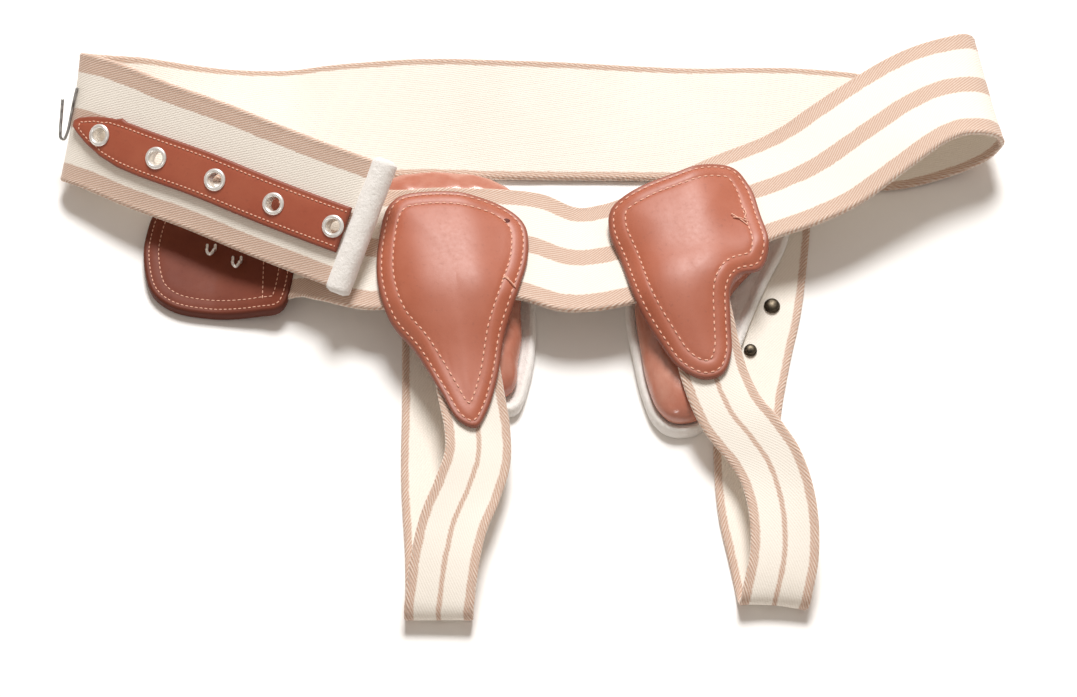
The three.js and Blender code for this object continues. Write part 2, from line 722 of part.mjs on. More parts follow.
// Two-part studs on the right thigh strap's inner face.
function studBody(run, across, scale) {
  const frame = rightStrap.frameAt(run);
  const origin = rightStrap.point(run, across, -STRAP_T / 2 - CLEAR);
  const r = STUD_R * scale;
  const profile = [
    [0, 0], [r, 0], [r, 0.5], [0.62 * r, 0.8], [0.62 * r, 1.3],
    [0.86 * r, 1.5], [0.7 * r, 2.3], [0.3 * r, 2.7], [0, 2.8],
  ].map(([x, z]) => new THREE.Vector2(x, z));
  const stud = new THREE.LatheGeometry(profile, 16).rotateX(Math.PI / 2);
  const up = frame.outward.clone().negate();
  const side = new THREE.Vector3().crossVectors(up, frame.tangent);
  return placed(stud, origin, frame.tangent, side, up);
}

const straps = [leftStrap, rightStrap];
const STUD_RUN = 0.857; // the larger stud, share of the strap's length
const STUD_RUN_SMALL = 0.793;

const belt = new THREE.Group();
belt.add(finish('waist_band', cut(waist.body(), drills), 'webbing'));
belt.add(finish('end_roll', rollBody(), 'felt'));
belt.add(finish('eyelet_strip', cut(stripBody(), drills), 'strip_leather'));
eyeletFrames.forEach((frame, i) => {
  belt.add(finish(`eyelet_${i + 1}`, eyeletBody(frame), 'nickel'));
});
belt.add(finish('hook_patch', patchBody(), 'patch_leather'));
belt.add(finish('patch_hook_1', patchHook(-0.316, 0.092), 'nickel'));
belt.add(finish('patch_hook_2', patchHook(-0.344, 0.108), 'nickel'));
belt.add(finish('side_hook', sideHookBody(), 'nickel'));
belt.add(finish('left_shield', shieldBody(LEFT_SHIELD, leftStrap), 'leather'));
belt.add(finish('right_shield', shieldBody(RIGHT_SHIELD, rightStrap), 'leather'));
belt.add(finish('left_pad_felt', feltBody(LEFT_PELOTE, straps), 'felt'));
belt.add(finish('left_pad_leather', padBody(LEFT_PELOTE, straps), 'leather'));
belt.add(finish('right_pad_felt', feltBody(RIGHT_PELOTE, straps), 'felt'));
belt.add(finish('right_pad_leather', padBody(RIGHT_PELOTE, straps), 'leather'));
const frontWebbing = waist.body(CLEAR, FRONT_FIRST_ROW * waist.stepsPerRow);
belt.add(finish('left_thigh_strap', cut(leftStrap.body(), [frontWebbing]), 'webbing'));
belt.add(finish('right_thigh_strap', cut(rightStrap.body(), [frontWebbing]), 'webbing'));
belt.add(finish('strap_stud_1', studBody(STUD_RUN * rightStrap.length, -1.5, 1), 'bronze'));
belt.add(finish('strap_stud_2', studBody(STUD_RUN_SMALL * rightStrap.length, 4, 0.8), 'bronze'));

// The origin is the middle of the footprint, on the table.
const box = new THREE.Box3().setFromObject(belt);
const middle = box.getCenter(new THREE.Vector3());
belt.position.set(-middle.x, -middle.y, -box.min.z);

export default belt;
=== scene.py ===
"""Blender scene of a hernia belt lying on a pale table.

The belt is one strip of striped cotton webbing with a leather eyelet strip and a hook patch
at its ends, two felt and leather pelotes under its front, two leather shields over them and
two thigh straps. Sizes are in millimetres and are turned to metres when a mesh is made.
"""
from __future__ import annotations

import logging
import math
from bisect import bisect_right
from dataclasses import dataclass, field
from enum import Enum
from typing import Callable, Sequence

import bmesh
import bpy
from mathutils import Matrix, Vector, noise
from mathutils.bvhtree import BVHTree
from mathutils.kdtree import KDTree

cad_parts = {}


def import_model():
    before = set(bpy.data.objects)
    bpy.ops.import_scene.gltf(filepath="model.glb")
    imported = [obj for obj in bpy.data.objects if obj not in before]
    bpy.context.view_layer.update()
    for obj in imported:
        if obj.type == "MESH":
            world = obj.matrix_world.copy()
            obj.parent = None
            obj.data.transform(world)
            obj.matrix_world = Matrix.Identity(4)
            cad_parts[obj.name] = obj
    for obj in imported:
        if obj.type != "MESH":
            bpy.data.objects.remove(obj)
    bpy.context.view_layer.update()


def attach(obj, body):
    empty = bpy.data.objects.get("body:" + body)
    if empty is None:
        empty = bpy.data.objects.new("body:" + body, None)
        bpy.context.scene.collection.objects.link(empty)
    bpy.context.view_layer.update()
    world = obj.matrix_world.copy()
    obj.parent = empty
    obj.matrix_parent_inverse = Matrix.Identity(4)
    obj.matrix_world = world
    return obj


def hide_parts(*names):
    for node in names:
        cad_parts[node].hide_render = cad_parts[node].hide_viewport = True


log = logging.getLogger("hernia_belt")

MM = 0.001
SPAN = 470.0
PAD_H = 20.0
BAND_W = 65.0
BAND_T = 2.8
STRAP_W = 32.0
STRAP_T = 2.2
CLEAR = 0.4
LEATHER_T = 1.4
SHIELD_T = 2.6
SHIELD_RISE = 5.0
FELT_T = 6.0
RIM = 5.0
STRIP_W = 23.0
STRIP_T = 2.4
EYELET_PITCH = 32.6
EYELET_HOLE_R = 3.35
EYELET_RING_R = 5.6
EYELET_WALL = 0.6
PUNCH_DEPTH = 16
SELVEDGE_ROUND = 1.4
ROLL_R = 6.2
ROLL_RUN = 2.0
WIRE_R = 0.75
STUD_R = 4.0
BURNISHED = 3.0
LYING_Z = 0.07
ORIGIN_SHIFT = Vector((3.63, -11.0, 0.03))
IMAGE_WIDTH = 1077
CAMERA_ELEVATION = 62.0
CAMERA_DISTANCE = 1400.0
FOCAL_PIXELS = 2870.0

HOOK_END_Z = (LEATHER_T + CLEAR + BAND_T / 2) / PAD_H
PATCH_THICK = 2 * (LEATHER_T + CLEAR) + BAND_T


@dataclass(frozen=True)
class Row:
    """One station of a webbing path: x and y as shares of SPAN, z of PAD_H, angles in degrees."""

    x: float
    y: float
    z: float
    swing: float
    tip: float
    seat: int = 0


WAIST_ROWS: tuple[Row, ...] = (
    Row(-0.178, 0.095, 2.0, -17, 24),
    Row(-0.209, 0.109, 1.95, -20, 28),
    Row(-0.279, 0.142, 1.85, -21, 29),
    Row(-0.347, 0.175, 1.8, -20, 29),
    Row(-0.411, 0.204, 1.7, -18, 30),
    Row(-0.462, 0.231, 1.58, -18, 30),
    Row(-0.483, 0.242, 1.45, -17, 30),
    Row(-0.493, 0.251, 1.2, -12, 29),
    Row(-0.484, 0.258, 0.9, -6, 27),
    Row(-0.458, 0.26, 0.78, 0, 25),
    Row(-0.419, 0.266, 0.53, 2, 16),
    Row(-0.381, 0.269, 0.3, 3, 8),
    Row(-0.345, 0.271, 0.14, 3, 1.5),
    Row(-0.302, 0.271, 0.09, 3, 0),
    Row(-0.266, 0.271, 0.1, 2, 0.5),
    Row(-0.221, 0.27, 0.275, 2, 7),
    Row(-0.132, 0.272, 0.4, 1, 10),
    Row(-0.04, 0.27, 0.4, 0, 11),
    Row(0.036, 0.27, 0.325, 0, 8),
    Row(0.098, 0.27, 0.25, -1, 5),
    Row(0.175, 0.27, 0.165, -1, 2),
    Row(0.26, 0.266, 0.3, -2, 7),
    Row(0.332, 0.26, 0.3, 0, 6.5),
    Row(0.372, 0.258, 0.2, 2, 4),
    Row(0.422, 0.27, 0.2, 3, 1),
    Row(0.458, 0.28, 0.385, 4, -2),
    Row(0.473, 0.285, 0.58, 4, -2),
    Row(0.48, 0.288, 0.9, 4.5, -3),
    Row(0.476, 0.286, 1.25, 6.5, -4.5),
    Row(0.462, 0.282, 1.52, 9.5, -7),
    Row(0.43, 0.275, 1.62, 16, -11),
    Row(0.396, 0.26, 1.56, 24, -14),
    Row(0.363, 0.238, 1.47, 30, -14),
    Row(0.328, 0.213, 1.34, 30, -11),
    Row(0.296, 0.191, 1.22, 26, -11),
    Row(0.26, 0.174, 1.08, 23, -14),
    Row(0.211, 0.156, 0.95, 22, -15),
    Row(0.151, 0.122, 0.98, 14, -12),
    Row(0.089, 0.092, 0.95, 6, -12),
    Row(0.034, 0.083, 0.97, 0, -7),
    Row(-0.011, 0.097, 1.05, 0, -6),
    Row(-0.092, 0.097, 1.15, 1, -4),
    Row(-0.165, 0.089, 1.2, 0.5, 3),
    Row(-0.206, 0.106, 0.9, -2, 2),
    Row(-0.243, 0.115, 0.68, -5, 2),
    Row(-0.289, 0.111, 0.32, -4, 0),
    Row(-0.335, 0.11, HOOK_END_Z, -3, 0),
    Row(-0.358, 0.11, HOOK_END_Z, -3, 0),
)
FRONT_FIRST_ROW = 33
FRONT_LAST_ROW = 44

LEFT_STRAP_ROWS: tuple[Row, ...] = (
    Row(-0.096, 0.064, 0, 95, 0, 1),
    Row(-0.09, 0.034, 0, 97, 0, 1),
    Row(-0.082, 0.004, 1.27, 100, 0),
    Row(-0.075, -0.036, 1.08, 102, 0),
    Row(-0.068, -0.076, 0.96, 104, 6),
    Row(-0.062, -0.109, 0.9, 100, 12),
    Row(-0.061, -0.143, 0.87, 88, 16),
    Row(-0.071, -0.179, 0.85, 72, 12),
    Row(-0.084, -0.214, 0.84, 74, 6),
    Row(-0.092, -0.253, 0.79, 82, 2),
    Row(-0.096, -0.286, 0.65, 87, 0),
    Row(-0.098, -0.302, 0.52, 89, 0),
    Row(-0.098, -0.308, 0.35, 90, 0),
    Row(-0.098, -0.302, 0.18, 90, 0),
    Row(-0.098, -0.284, 0.08, 91, 0),
    Row(-0.099, -0.24, LYING_Z, 92, 0),
    Row(-0.105, -0.15, LYING_Z, 92, 0),
    Row(-0.106, -0.06, LYING_Z, 91, 0),
    Row(-0.108, 0.02, LYING_Z, 90, 0),
    Row(-0.11, 0.09, LYING_Z, 90, 0),
)
RIGHT_STRAP_ROWS: tuple[Row, ...] = (
    Row(0.148, 0.085, 0, 98, 0, 1),
    Row(0.157, 0.045, 0, 102, 0, 1),
    Row(0.164, 0.012, 1.33, 104, 0),
    Row(0.172, -0.026, 1.14, 106, 0),
    Row(0.181, -0.062, 1.02, 110, 0),
    Row(0.195, -0.096, 0.98, 118, -12),
    Row(0.2145, -0.124, 0.98, 122, -20),
    Row(0.231, -0.152, 0.95, 113, -17),
    Row(0.24, -0.182, 0.9, 100, -8),
    Row(0.244, -0.22, 0.85, 91, -3),
    Row(0.242, -0.253, 0.76, 86, 0),
    Row(0.237, -0.276, 0.64, 84, 0),
    Row(0.234, -0.288, 0.5, 85, 0),
    Row(0.232, -0.292, 0.34, 87, 0),
    Row(0.231, -0.286, 0.18, 91, 0),
    Row(0.229, -0.27, 0.08, 95, 0),
    Row(0.223, -0.235, LYING_Z, 96, 0),
    Row(0.215, -0.19, LYING_Z, 95, 0),
    Row(0.212, -0.14, LYING_Z, 91, 0),
    Row(0.214, -0.08, LYING_Z, 84, 0),
    Row(0.226, -0.015, LYING_Z, 80, 0),
    Row(0.241, 0.05, LYING_Z, 80, 0),
    Row(0.251, 0.12, LYING_Z, 82, 0),
    Row(0.257, 0.172, LYING_Z, 84, 0),
)
STRAP_FRONT_ROWS = 8
LEFT_LYING_ROWS = (13, 19)
RIGHT_LYING_ROWS = (14, 23)

LEFT_PELOTE_ROWS = (
    (-0.158, 0.192, 0.2),
    (-0.112, 0.2, 0.15),
    (-0.06, 0.195, 0.15),
    (-0.022, 0.175, 0.4),
    (-0.006, 0.13, 1),
    (-0.004, 0.06, 1.6),
    (-0.003, 0, 2),
    (-0.008, -0.04, 2.2),
    (-0.023, -0.08, 1.8),
    (-0.042, -0.078, 1),
    (-0.062, -0.03, 1),
    (-0.1, 0.03, 1),
    (-0.145, 0.1, 1),
    (-0.167, 0.155, 0.6),
)
RIGHT_PELOTE_ROWS = (
    (0.136, -0.105, 0.9),
    (0.119, -0.093, 1),
    (0.106, -0.06, 1),
    (0.097, -0.015, 1),
    (0.09, 0.03, 1),
    (0.094, 0.09, 1),
    (0.112, 0.15, 1),
    (0.16, 0.18, 1),
    (0.225, 0.178, 1.4),
    (0.266, 0.155, 2.6),
    (0.262, 0.12, 3),
    (0.239, 0.07, 3),
    (0.222, 0.03, 2.8),
    (0.206, -0.015, 2.4),
    (0.19, -0.06, 1.4),
    (0.166, -0.1, 0.9),
)
LEFT_SHIELD_ROWS = (
    (-0.146, 0.144),
    (-0.112, 0.151),
    (-0.07, 0.149),
    (-0.034, 0.139),
    (-0.014, 0.118),
    (-0.011, 0.078),
    (-0.021, 0.035),
    (-0.034, -0.01),
    (-0.042, -0.06),
    (-0.053, -0.098),
    (-0.063, -0.114),
    (-0.08, -0.108),
    (-0.098, -0.078),
    (-0.125, -0.032),
    (-0.152, 0.004),
    (-0.166, 0.05),
    (-0.165, 0.1),
    (-0.158, 0.131),
)
RIGHT_SHIELD_ROWS = (
    (0.076, 0.138),
    (0.104, 0.158),
    (0.145, 0.175),
    (0.183, 0.189),
    (0.207, 0.188),
    (0.222, 0.167),
    (0.231, 0.128),
    (0.238, 0.086),
    (0.229, 0.062),
    (0.207, 0.051),
    (0.197, 0.035),
    (0.196, 0),
    (0.196, -0.034),
    (0.187, -0.056),
    (0.168, -0.062),
    (0.143, -0.05),
    (0.122, -0.02),
    (0.1, 0.022),
    (0.085, 0.075),
    (0.0735, 0.112),
)
SHIELD_SEAMS = (2.6, 8.2)
PATCH_LENGTH = 71.0
PATCH_WIDTH = BAND_W + 8
PATCH_END = -0.264
PATCH_MID = 0.11
PATCH_ROWS = (
    (0, 0.03),
    (0.18, 0),
    (0.52, 0.005),
    (0.78, 0.06),
    (0.93, 0.18),
    (1, 0.42),
    (1, 0.6),
    (0.93, 0.84),
    (0.78, 0.95),
    (0.52, 1),
    (0.18, 1),
    (0, 0.97),
)

PATCH_HOOK_PLACES = ((-0.316, 0.092), (-0.344, 0.108))
PATCH_SEAMS = (3.0, 7.8)
PATCH_CROSS_SEAM = ((-135.2, 46.0), (-134.8, 21.5))

STRIP_START = ROLL_RUN + ROLL_R + CLEAR
STRIP_END_GAP = 17.0
FIRST_EYELET = STRIP_START + 5.5
STRIP_SHIFT = -4.5
STRIP_LENGTH = FIRST_EYELET - STRIP_START + 4 * EYELET_PITCH + STRIP_END_GAP
STRIP_LIFT = BAND_T / 2 + CLEAR + STRIP_T / 2
STRIP_SEAM_INSET = 2.6
STRIP_NICK = 0.835
STRIP_ROWS = (
    (0, 0.5, 0),
    (0.12, 0.5, 0),
    (0.48, 0.5, 0),
    (0.7, 0.5, 0),
    (0.8, 0.49, 0),
    (0.87, 0.43, 0.01),
    (0.93, 0.31, 0.03),
    (0.975, 0.17, 0.06),
    (1, 0.06, 0.08),
)
SIDE_HOOK_RUN = 165.5
STUD_PLACES = ((0.857, -1.5, 1.0), (0.793, 4.0, 0.8))
TEAR_PLACE = (-15.6, 56.2)
LOOSE_THREADS = (
    ("left_shield", ((-16.4, 22.3, 0.3), (-13.8, 19.8, 0.8), (-11.2, 17.4, 0.6))),
    ("left_shield", ((-17.4, 21.0, 0.2), (-15.8, 22.2, 0.5), (-14.2, 21.2, 0.3))),
    ("right_shield", ((93.6, 57.2, 0.9), (97.4, 55.2, 0.6), (101.8, 51.6, 0.3))),
    ("right_shield", ((94.6, 55.4, 0.6), (98.2, 55.0, 0.9), (102.4, 54.0, 0.3))),
    ("right_shield", ((100.2, 56.0, 0.3), (101.4, 59.0, 0.8), (100.6, 62.0, 0.6))),
)
LOOSE_THREAD_R = 0.3


def smooth_spline(points: Sequence[Vector], t: float, closed: bool = False) -> Vector:
    """Read a centripetal Catmull-Rom curve through points.

    Args:
        points: The points the curve runs through.
        t: Place along the curve from 0 to 1, in equal steps from point to point.
        closed: Whether the curve runs back to its first point.

    Returns:
        The point on the curve.
    """
    count = len(points)
    place = (count if closed else count - 1) * t
    whole = int(math.floor(place))
    weight = place - whole
    if closed:
        p0, p1, p2, p3 = (points[(whole + k) % count] for k in (-1, 0, 1, 2))
    else:
        if whole >= count - 1:
            whole, weight = count - 2, 1.0
        p1, p2 = points[whole], points[whole + 1]
        p0 = points[whole - 1] if whole > 0 else p1 * 2 - p2
        p3 = points[whole + 2] if whole + 2 < count else p2 * 2 - p1
    d1 = max((p2 - p1).length_squared ** 0.25, 1e-4)
    d0 = (p1 - p0).length_squared ** 0.25
    d2 = (p3 - p2).length_squared ** 0.25
    d0 = d1 if d0 < 1e-4 else d0
    d2 = d1 if d2 < 1e-4 else d2
    m1 = ((p1 - p0) / d0 - (p2 - p0) / (d0 + d1) + (p2 - p1) / d1) * d1
    m2 = ((p2 - p1) / d1 - (p3 - p1) / (d1 + d2) + (p3 - p2) / d2) * d1
    w, w2, w3 = weight, weight * weight, weight ** 3
    return (p1 * (2 * w3 - 3 * w2 + 1) + m1 * (w3 - 2 * w2 + w)
            + p2 * (3 * w2 - 2 * w3) + m2 * (w3 - w2))


def width_direction(swing: float, tip: float) -> Vector:
    """Give the direction across a webbing for its swing and tip in degrees."""
    s, t = math.radians(swing), math.radians(tip)
    return Vector((-math.sin(s) * math.cos(t), math.cos(s) * math.cos(t), math.sin(t)))


def wobble(a: float, b: float, seed: float, size: float) -> float:
    """Give a smooth, repeatable unevenness between about -1 and 1.

    Args:
        a: First place in millimetres.
        b: Second place in millimetres.
        seed: Number that tells one piece from another.
        size: Size of one bump in millimetres.

    Returns:
        The unevenness at that place.
    """
    return noise.noise(Vector((a / size, b / size, seed)))


def hump(place: float, middle: float, width: float) -> float:
    """Give a soft hump of height 1 round a middle, for seams, rims and bulges."""
    return math.exp(-((place - middle) / width) ** 2)


@dataclass
class Frame:
    """Place and directions on a webbing's centre line."""

    centre: Vector
    tangent: Vector
    across: Vector
    outward: Vector
    run: float = 0.0


class Ribbon:
    """A webbing path with its width and thickness."""

    STEPS = 12

    def __init__(self, rows: Sequence[Row], width: float, thickness: float) -> None:
        """Sample the path.

        Args:
            rows: Stations of the path.
            width: Webbing width in millimetres.
            thickness: Webbing thickness in millimetres.
        """
        self.width = width
        self.thickness = thickness
        centres = [Vector((r.x * SPAN, r.y * SPAN, r.z * PAD_H)) for r in rows]
        widths = [width_direction(r.swing, r.tip) for r in rows]
        steps = (len(rows) - 1) * self.STEPS
        self.frames: list[Frame] = []
        run = 0.0
        for i in range(steps + 1):
            t = i / steps
            centre = smooth_spline(centres, t)
            ahead = smooth_spline(centres, min(1.0, t + 0.2 / steps))
            behind = smooth_spline(centres, max(0.0, t - 0.2 / steps))
            tangent = (ahead - behind).normalized()
            across = smooth_spline(widths, t)
            across = (across - tangent * across.dot(tangent)).normalized()
            if self.frames:
                run += (centre - self.frames[-1].centre).length
            self.frames.append(Frame(centre, tangent, across, across.cross(tangent), run))
        self.runs = [f.run for f in self.frames]
        self.length = run
        self.relax()

    def relax(self) -> None:
        """Even out the turns of the frames, as stiff webbing does, so no edge bunches up."""
        count = len(self.frames)
        tangents = [f.tangent for f in self.frames]
        widths = [f.across for f in self.frames]
        for i, frame in enumerate(self.frames):
            reach = min(self.STEPS, i, count - 1 - i)
            near = range(i - reach, i + reach + 1)
            tangent = sum((tangents[k] for k in near), Vector()).normalized()
            across = sum((widths[k] for k in near), Vector())
            frame.tangent = tangent
            frame.across = (across - tangent * across.dot(tangent)).normalized()
            frame.outward = frame.across.cross(tangent)

    def frame_at(self, run: float) -> Frame:
        """Give the frame at a distance along the webbing."""
        i = min(max(bisect_right(self.runs, run) - 1, 0), len(self.frames) - 2)
        a, b = self.frames[i], self.frames[i + 1]
        f = (run - a.run) / (b.run - a.run)
        return Frame(
            a.centre.lerp(b.centre, f),
            (a.tangent * (1 - f) + b.tangent * f).normalized(),
            (a.across * (1 - f) + b.across * f).normalized(),
            (a.outward * (1 - f) + b.outward * f).normalized(),
            run,
        )

    def point(self, run: float, across: float, offset: float) -> Vector:
        """Give a point by distance along, distance across and height over the middle."""
        f = self.frame_at(run)
        return f.centre + f.across * across + f.outward * offset

    def top_at(self, x: float, y: float, first_row: int, last_row: int, slope: float) -> float:
        """Give the height of the outer face over a plan point.

        Args:
            x: Plan x in millimetres.
            y: Plan y in millimetres.
            first_row: First row of the stretch that is looked at.
            last_row: Last row of the stretch.
            slope: Fall per millimetre outside the webbing's edges.

        Returns:
            The height in millimetres.
        """
        first, last = first_row * self.STEPS, last_row * self.STEPS

        def ahead(f: Frame) -> float:
            """Give how far the plan point lies ahead of a frame."""
            flat = math.hypot(f.tangent.x, f.tangent.y)
            return ((x - f.centre.x) * f.tangent.x + (y - f.centre.y) * f.tangent.y) / flat

        i = first
        while i < last - 1 and ahead(self.frames[i + 1]) > 0:
            i += 1
        a, b = self.frames[i], self.frames[i + 1]
        fa, fb = ahead(a), ahead(b)
        f = min(max(fa / (fa - fb), 0.0), 1.0)
        centre = a.centre.lerp(b.centre, f)
        across = a.across.lerp(b.across, f)
        outward = a.outward.lerp(b.outward, f)
        flat = across.x ** 2 + across.y ** 2
        side = ((x - centre.x) * across.x + (y - centre.y) * across.y) / flat
        outside = max(0.0, abs(side) - self.width / 2)
        inside = min(max(side, -self.width / 2), self.width / 2)
        return centre.z + inside * across.z + self.thickness / 2 * outward.z - slope * outside


class Outline:
    """A closed, smooth, star-shaped outline in plan."""

    def __init__(self, rows: Sequence[tuple[float, ...]], centre: tuple[float, float],
                 count: int) -> None:
        """Smooth and resample the outline.

        Args:
            rows: Points as shares of SPAN; further columns are left to the caller.
            centre: Middle point as shares of SPAN.
            count: Number of points round the outline.
        """
        raw = [Vector((r[0] * SPAN, r[1] * SPAN, 0)) for r in rows]
        self.centre = Vector((centre[0] * SPAN, centre[1] * SPAN, 0))
        fine = even_steps([smooth_spline(raw, i / 800, True) for i in range(800)], 3000, True)
        self.points = even_steps(fine, count, True)
        self.tree = KDTree(len(fine))
        for i, p in enumerate(fine):
            self.tree.insert(p, i)
        self.tree.balance()

    def gap_to_rim(self, p: Vector) -> float:
        """Give the distance from a plan point to the outline."""
        return self.tree.find(Vector((p.x, p.y, 0.0)))[2]

    def inset(self, distance: float) -> list[Vector]:
        """Give the outline moved inward by a distance, as one point for each rim point."""
        line = []
        for rim in self.points:
            low, high = 0.0, 1.0
            for _ in range(14):
                share = (low + high) / 2
                if self.gap_to_rim(self.centre.lerp(rim, share)) > distance:
                    low = share
                else:
                    high = share
            line.append(self.centre.lerp(rim, low))
        return line


def even_steps(line: Sequence[Vector], count: int, closed: bool) -> list[Vector]:
    """Resample a polyline into points at equal distances.

    Args:
        line: Points of the polyline.
        count: Number of points wanted.
        closed: Whether the polyline runs back to its start.

    Returns:
        The resampled points.
    """
    path = list(line) + ([line[0]] if closed else [])
    runs = [0.0]
    for a, b in zip(path, path[1:]):
        runs.append(runs[-1] + (b - a).length)
    total = runs[-1]
    result = []
    for i in range(count):
        run = total * i / (count if closed else count - 1)
        k = min(max(bisect_right(runs, run) - 1, 0), len(path) - 2)
        share = (run - runs[k]) / max(runs[k + 1] - runs[k], 1e-9)
        result.append(path[k].lerp(path[k + 1], share))
    return result


def to_linear(hex_colour: str) -> tuple[float, float, float, float]:
    """Turn an sRGB hex value such as "#AABBCC" into a linear colour."""
    parts = [int(hex_colour[i:i + 2], 16) / 255 for i in (1, 3, 5)]
    linear = [c / 12.92 if c <= 0.04045 else ((c + 0.055) / 1.055) ** 2.4 for c in parts]
    return (linear[0], linear[1], linear[2], 1.0)


class Level:
    """A value that a material works out at every place, so that sums can be written as sums."""

    def __init__(self, tree: bpy.types.NodeTree, socket: bpy.types.NodeSocket) -> None:
        """Keep the node tree and the socket that gives the value."""
        self.tree = tree
        self.socket = socket

    def math(self, operation: str, other: object = 0.0, clamp: bool = False) -> Level:
        """Add one arithmetic node on this value and another."""
        node = add_node(self.tree, "ShaderNodeMath", {0: self, 1: other},
                        operation=operation, use_clamp=clamp)
        return Level(self.tree, node.outputs[0])

    def __add__(self, other: object) -> Level:
        """Add a value."""
        return self.math("ADD", other)

    def __sub__(self, other: object) -> Level:
        """Take a value away."""
        return self.math("SUBTRACT", other)

    def __mul__(self, other: object) -> Level:
        """Multiply by a value."""
        return self.math("MULTIPLY", other)


def fill_inputs(tree: bpy.types.NodeTree, node: bpy.types.Node, inputs: dict) -> None:
    """Set or link a node's inputs from plain values and worked out ones."""
    for key, value in inputs.items():
        if isinstance(value, Level):
            tree.links.new(value.socket, node.inputs[key])
        else:
            node.inputs[key].default_value = value


def add_node(tree: bpy.types.NodeTree, kind: str, inputs: dict | None = None,
             **settings: object) -> bpy.types.Node:
    """Add a shader node.

    Args:
        tree: The material's node tree.
        kind: The node's type name.
        inputs: Plain values or levels by input name or index.
        settings: Attributes to set on the node.

    Returns:
        The new node.
    """
    node = tree.nodes.new(kind)
    for name, value in settings.items():
        setattr(node, name, value)
    fill_inputs(tree, node, inputs or {})
    return node


def per_mm(size: float) -> float:
    """Give the texture scale in object metres for a feature of a size in millimetres."""
    return 1.0 / (size * MM)


class Recipe:
    """A material in the making: one Principled shader and the patterns that feed it."""

    def __init__(self, name: str) -> None:
        """Start the material with its shader and its place on the object."""
        self.material = bpy.data.materials.new(name)
        self.material.use_nodes = True
        self.tree = self.material.node_tree
        self.tree.nodes.clear()
        self.shader = self.add("ShaderNodeBsdfPrincipled")
        output = self.add("ShaderNodeOutputMaterial")
        self.tree.links.new(self.shader.outputs["BSDF"], output.inputs["Surface"])
        self.place = self.read(self.add("ShaderNodeTexCoord"), "Object")

    def add(self, kind: str, inputs: dict | None = None, **settings: object) -> bpy.types.Node:
        """Add a node to this material."""
        return add_node(self.tree, kind, inputs, **settings)

    def read(self, node: bpy.types.Node, output: str | int = 0) -> Level:
        """Give one output of a node."""
        return Level(self.tree, node.outputs[output])

    def noise(self, size: float, detail: float, roughness: float = 0.5) -> Level:
        """Give a soft noise whose features have a size in millimetres."""
        return self.read(self.add("ShaderNodeTexNoise", {
            "Vector": self.place, "Scale": per_mm(size), "Detail": detail,
            "Roughness": roughness}), "Fac")

    def ramp(self, value: Level, low: float, high: float, start: float = 0.0,
             end: float = 1.0) -> Level:
        """Carry a value from the range low to high onto start to end, held at both."""
        return self.read(self.add("ShaderNodeMapRange", {
            "Value": value, "From Min": low, "From Max": high, "To Min": start, "To Max": end}))

    def mix(self, share: Level, first: str | Level, second: str | Level) -> Level:
        """Mix two colours, each a hex value or a level."""
        first, second = (to_linear(c) if isinstance(c, str) else c for c in (first, second))
        return self.read(self.add("ShaderNodeMix", {
            "Factor": share, 6: first, 7: second}, data_type="RGBA"), 2)

    def bump(self, height: Level, strength: float, depth: float) -> None:
        """Press a relief of a depth in millimetres into the surface."""
        relief = self.add("ShaderNodeBump", {
            "Height": height, "Strength": strength, "Distance": depth * MM})
        self.shade({"Normal": self.read(relief)})

    def shade(self, inputs: dict) -> None:
        """Set or link the shader's inputs."""
        fill_inputs(self.tree, self.shader, inputs)


@dataclass(frozen=True)
class Stripe:
    """A tan stripe by its centre and half width in millimetres from the webbing's middle."""

    centre: float
    half: float


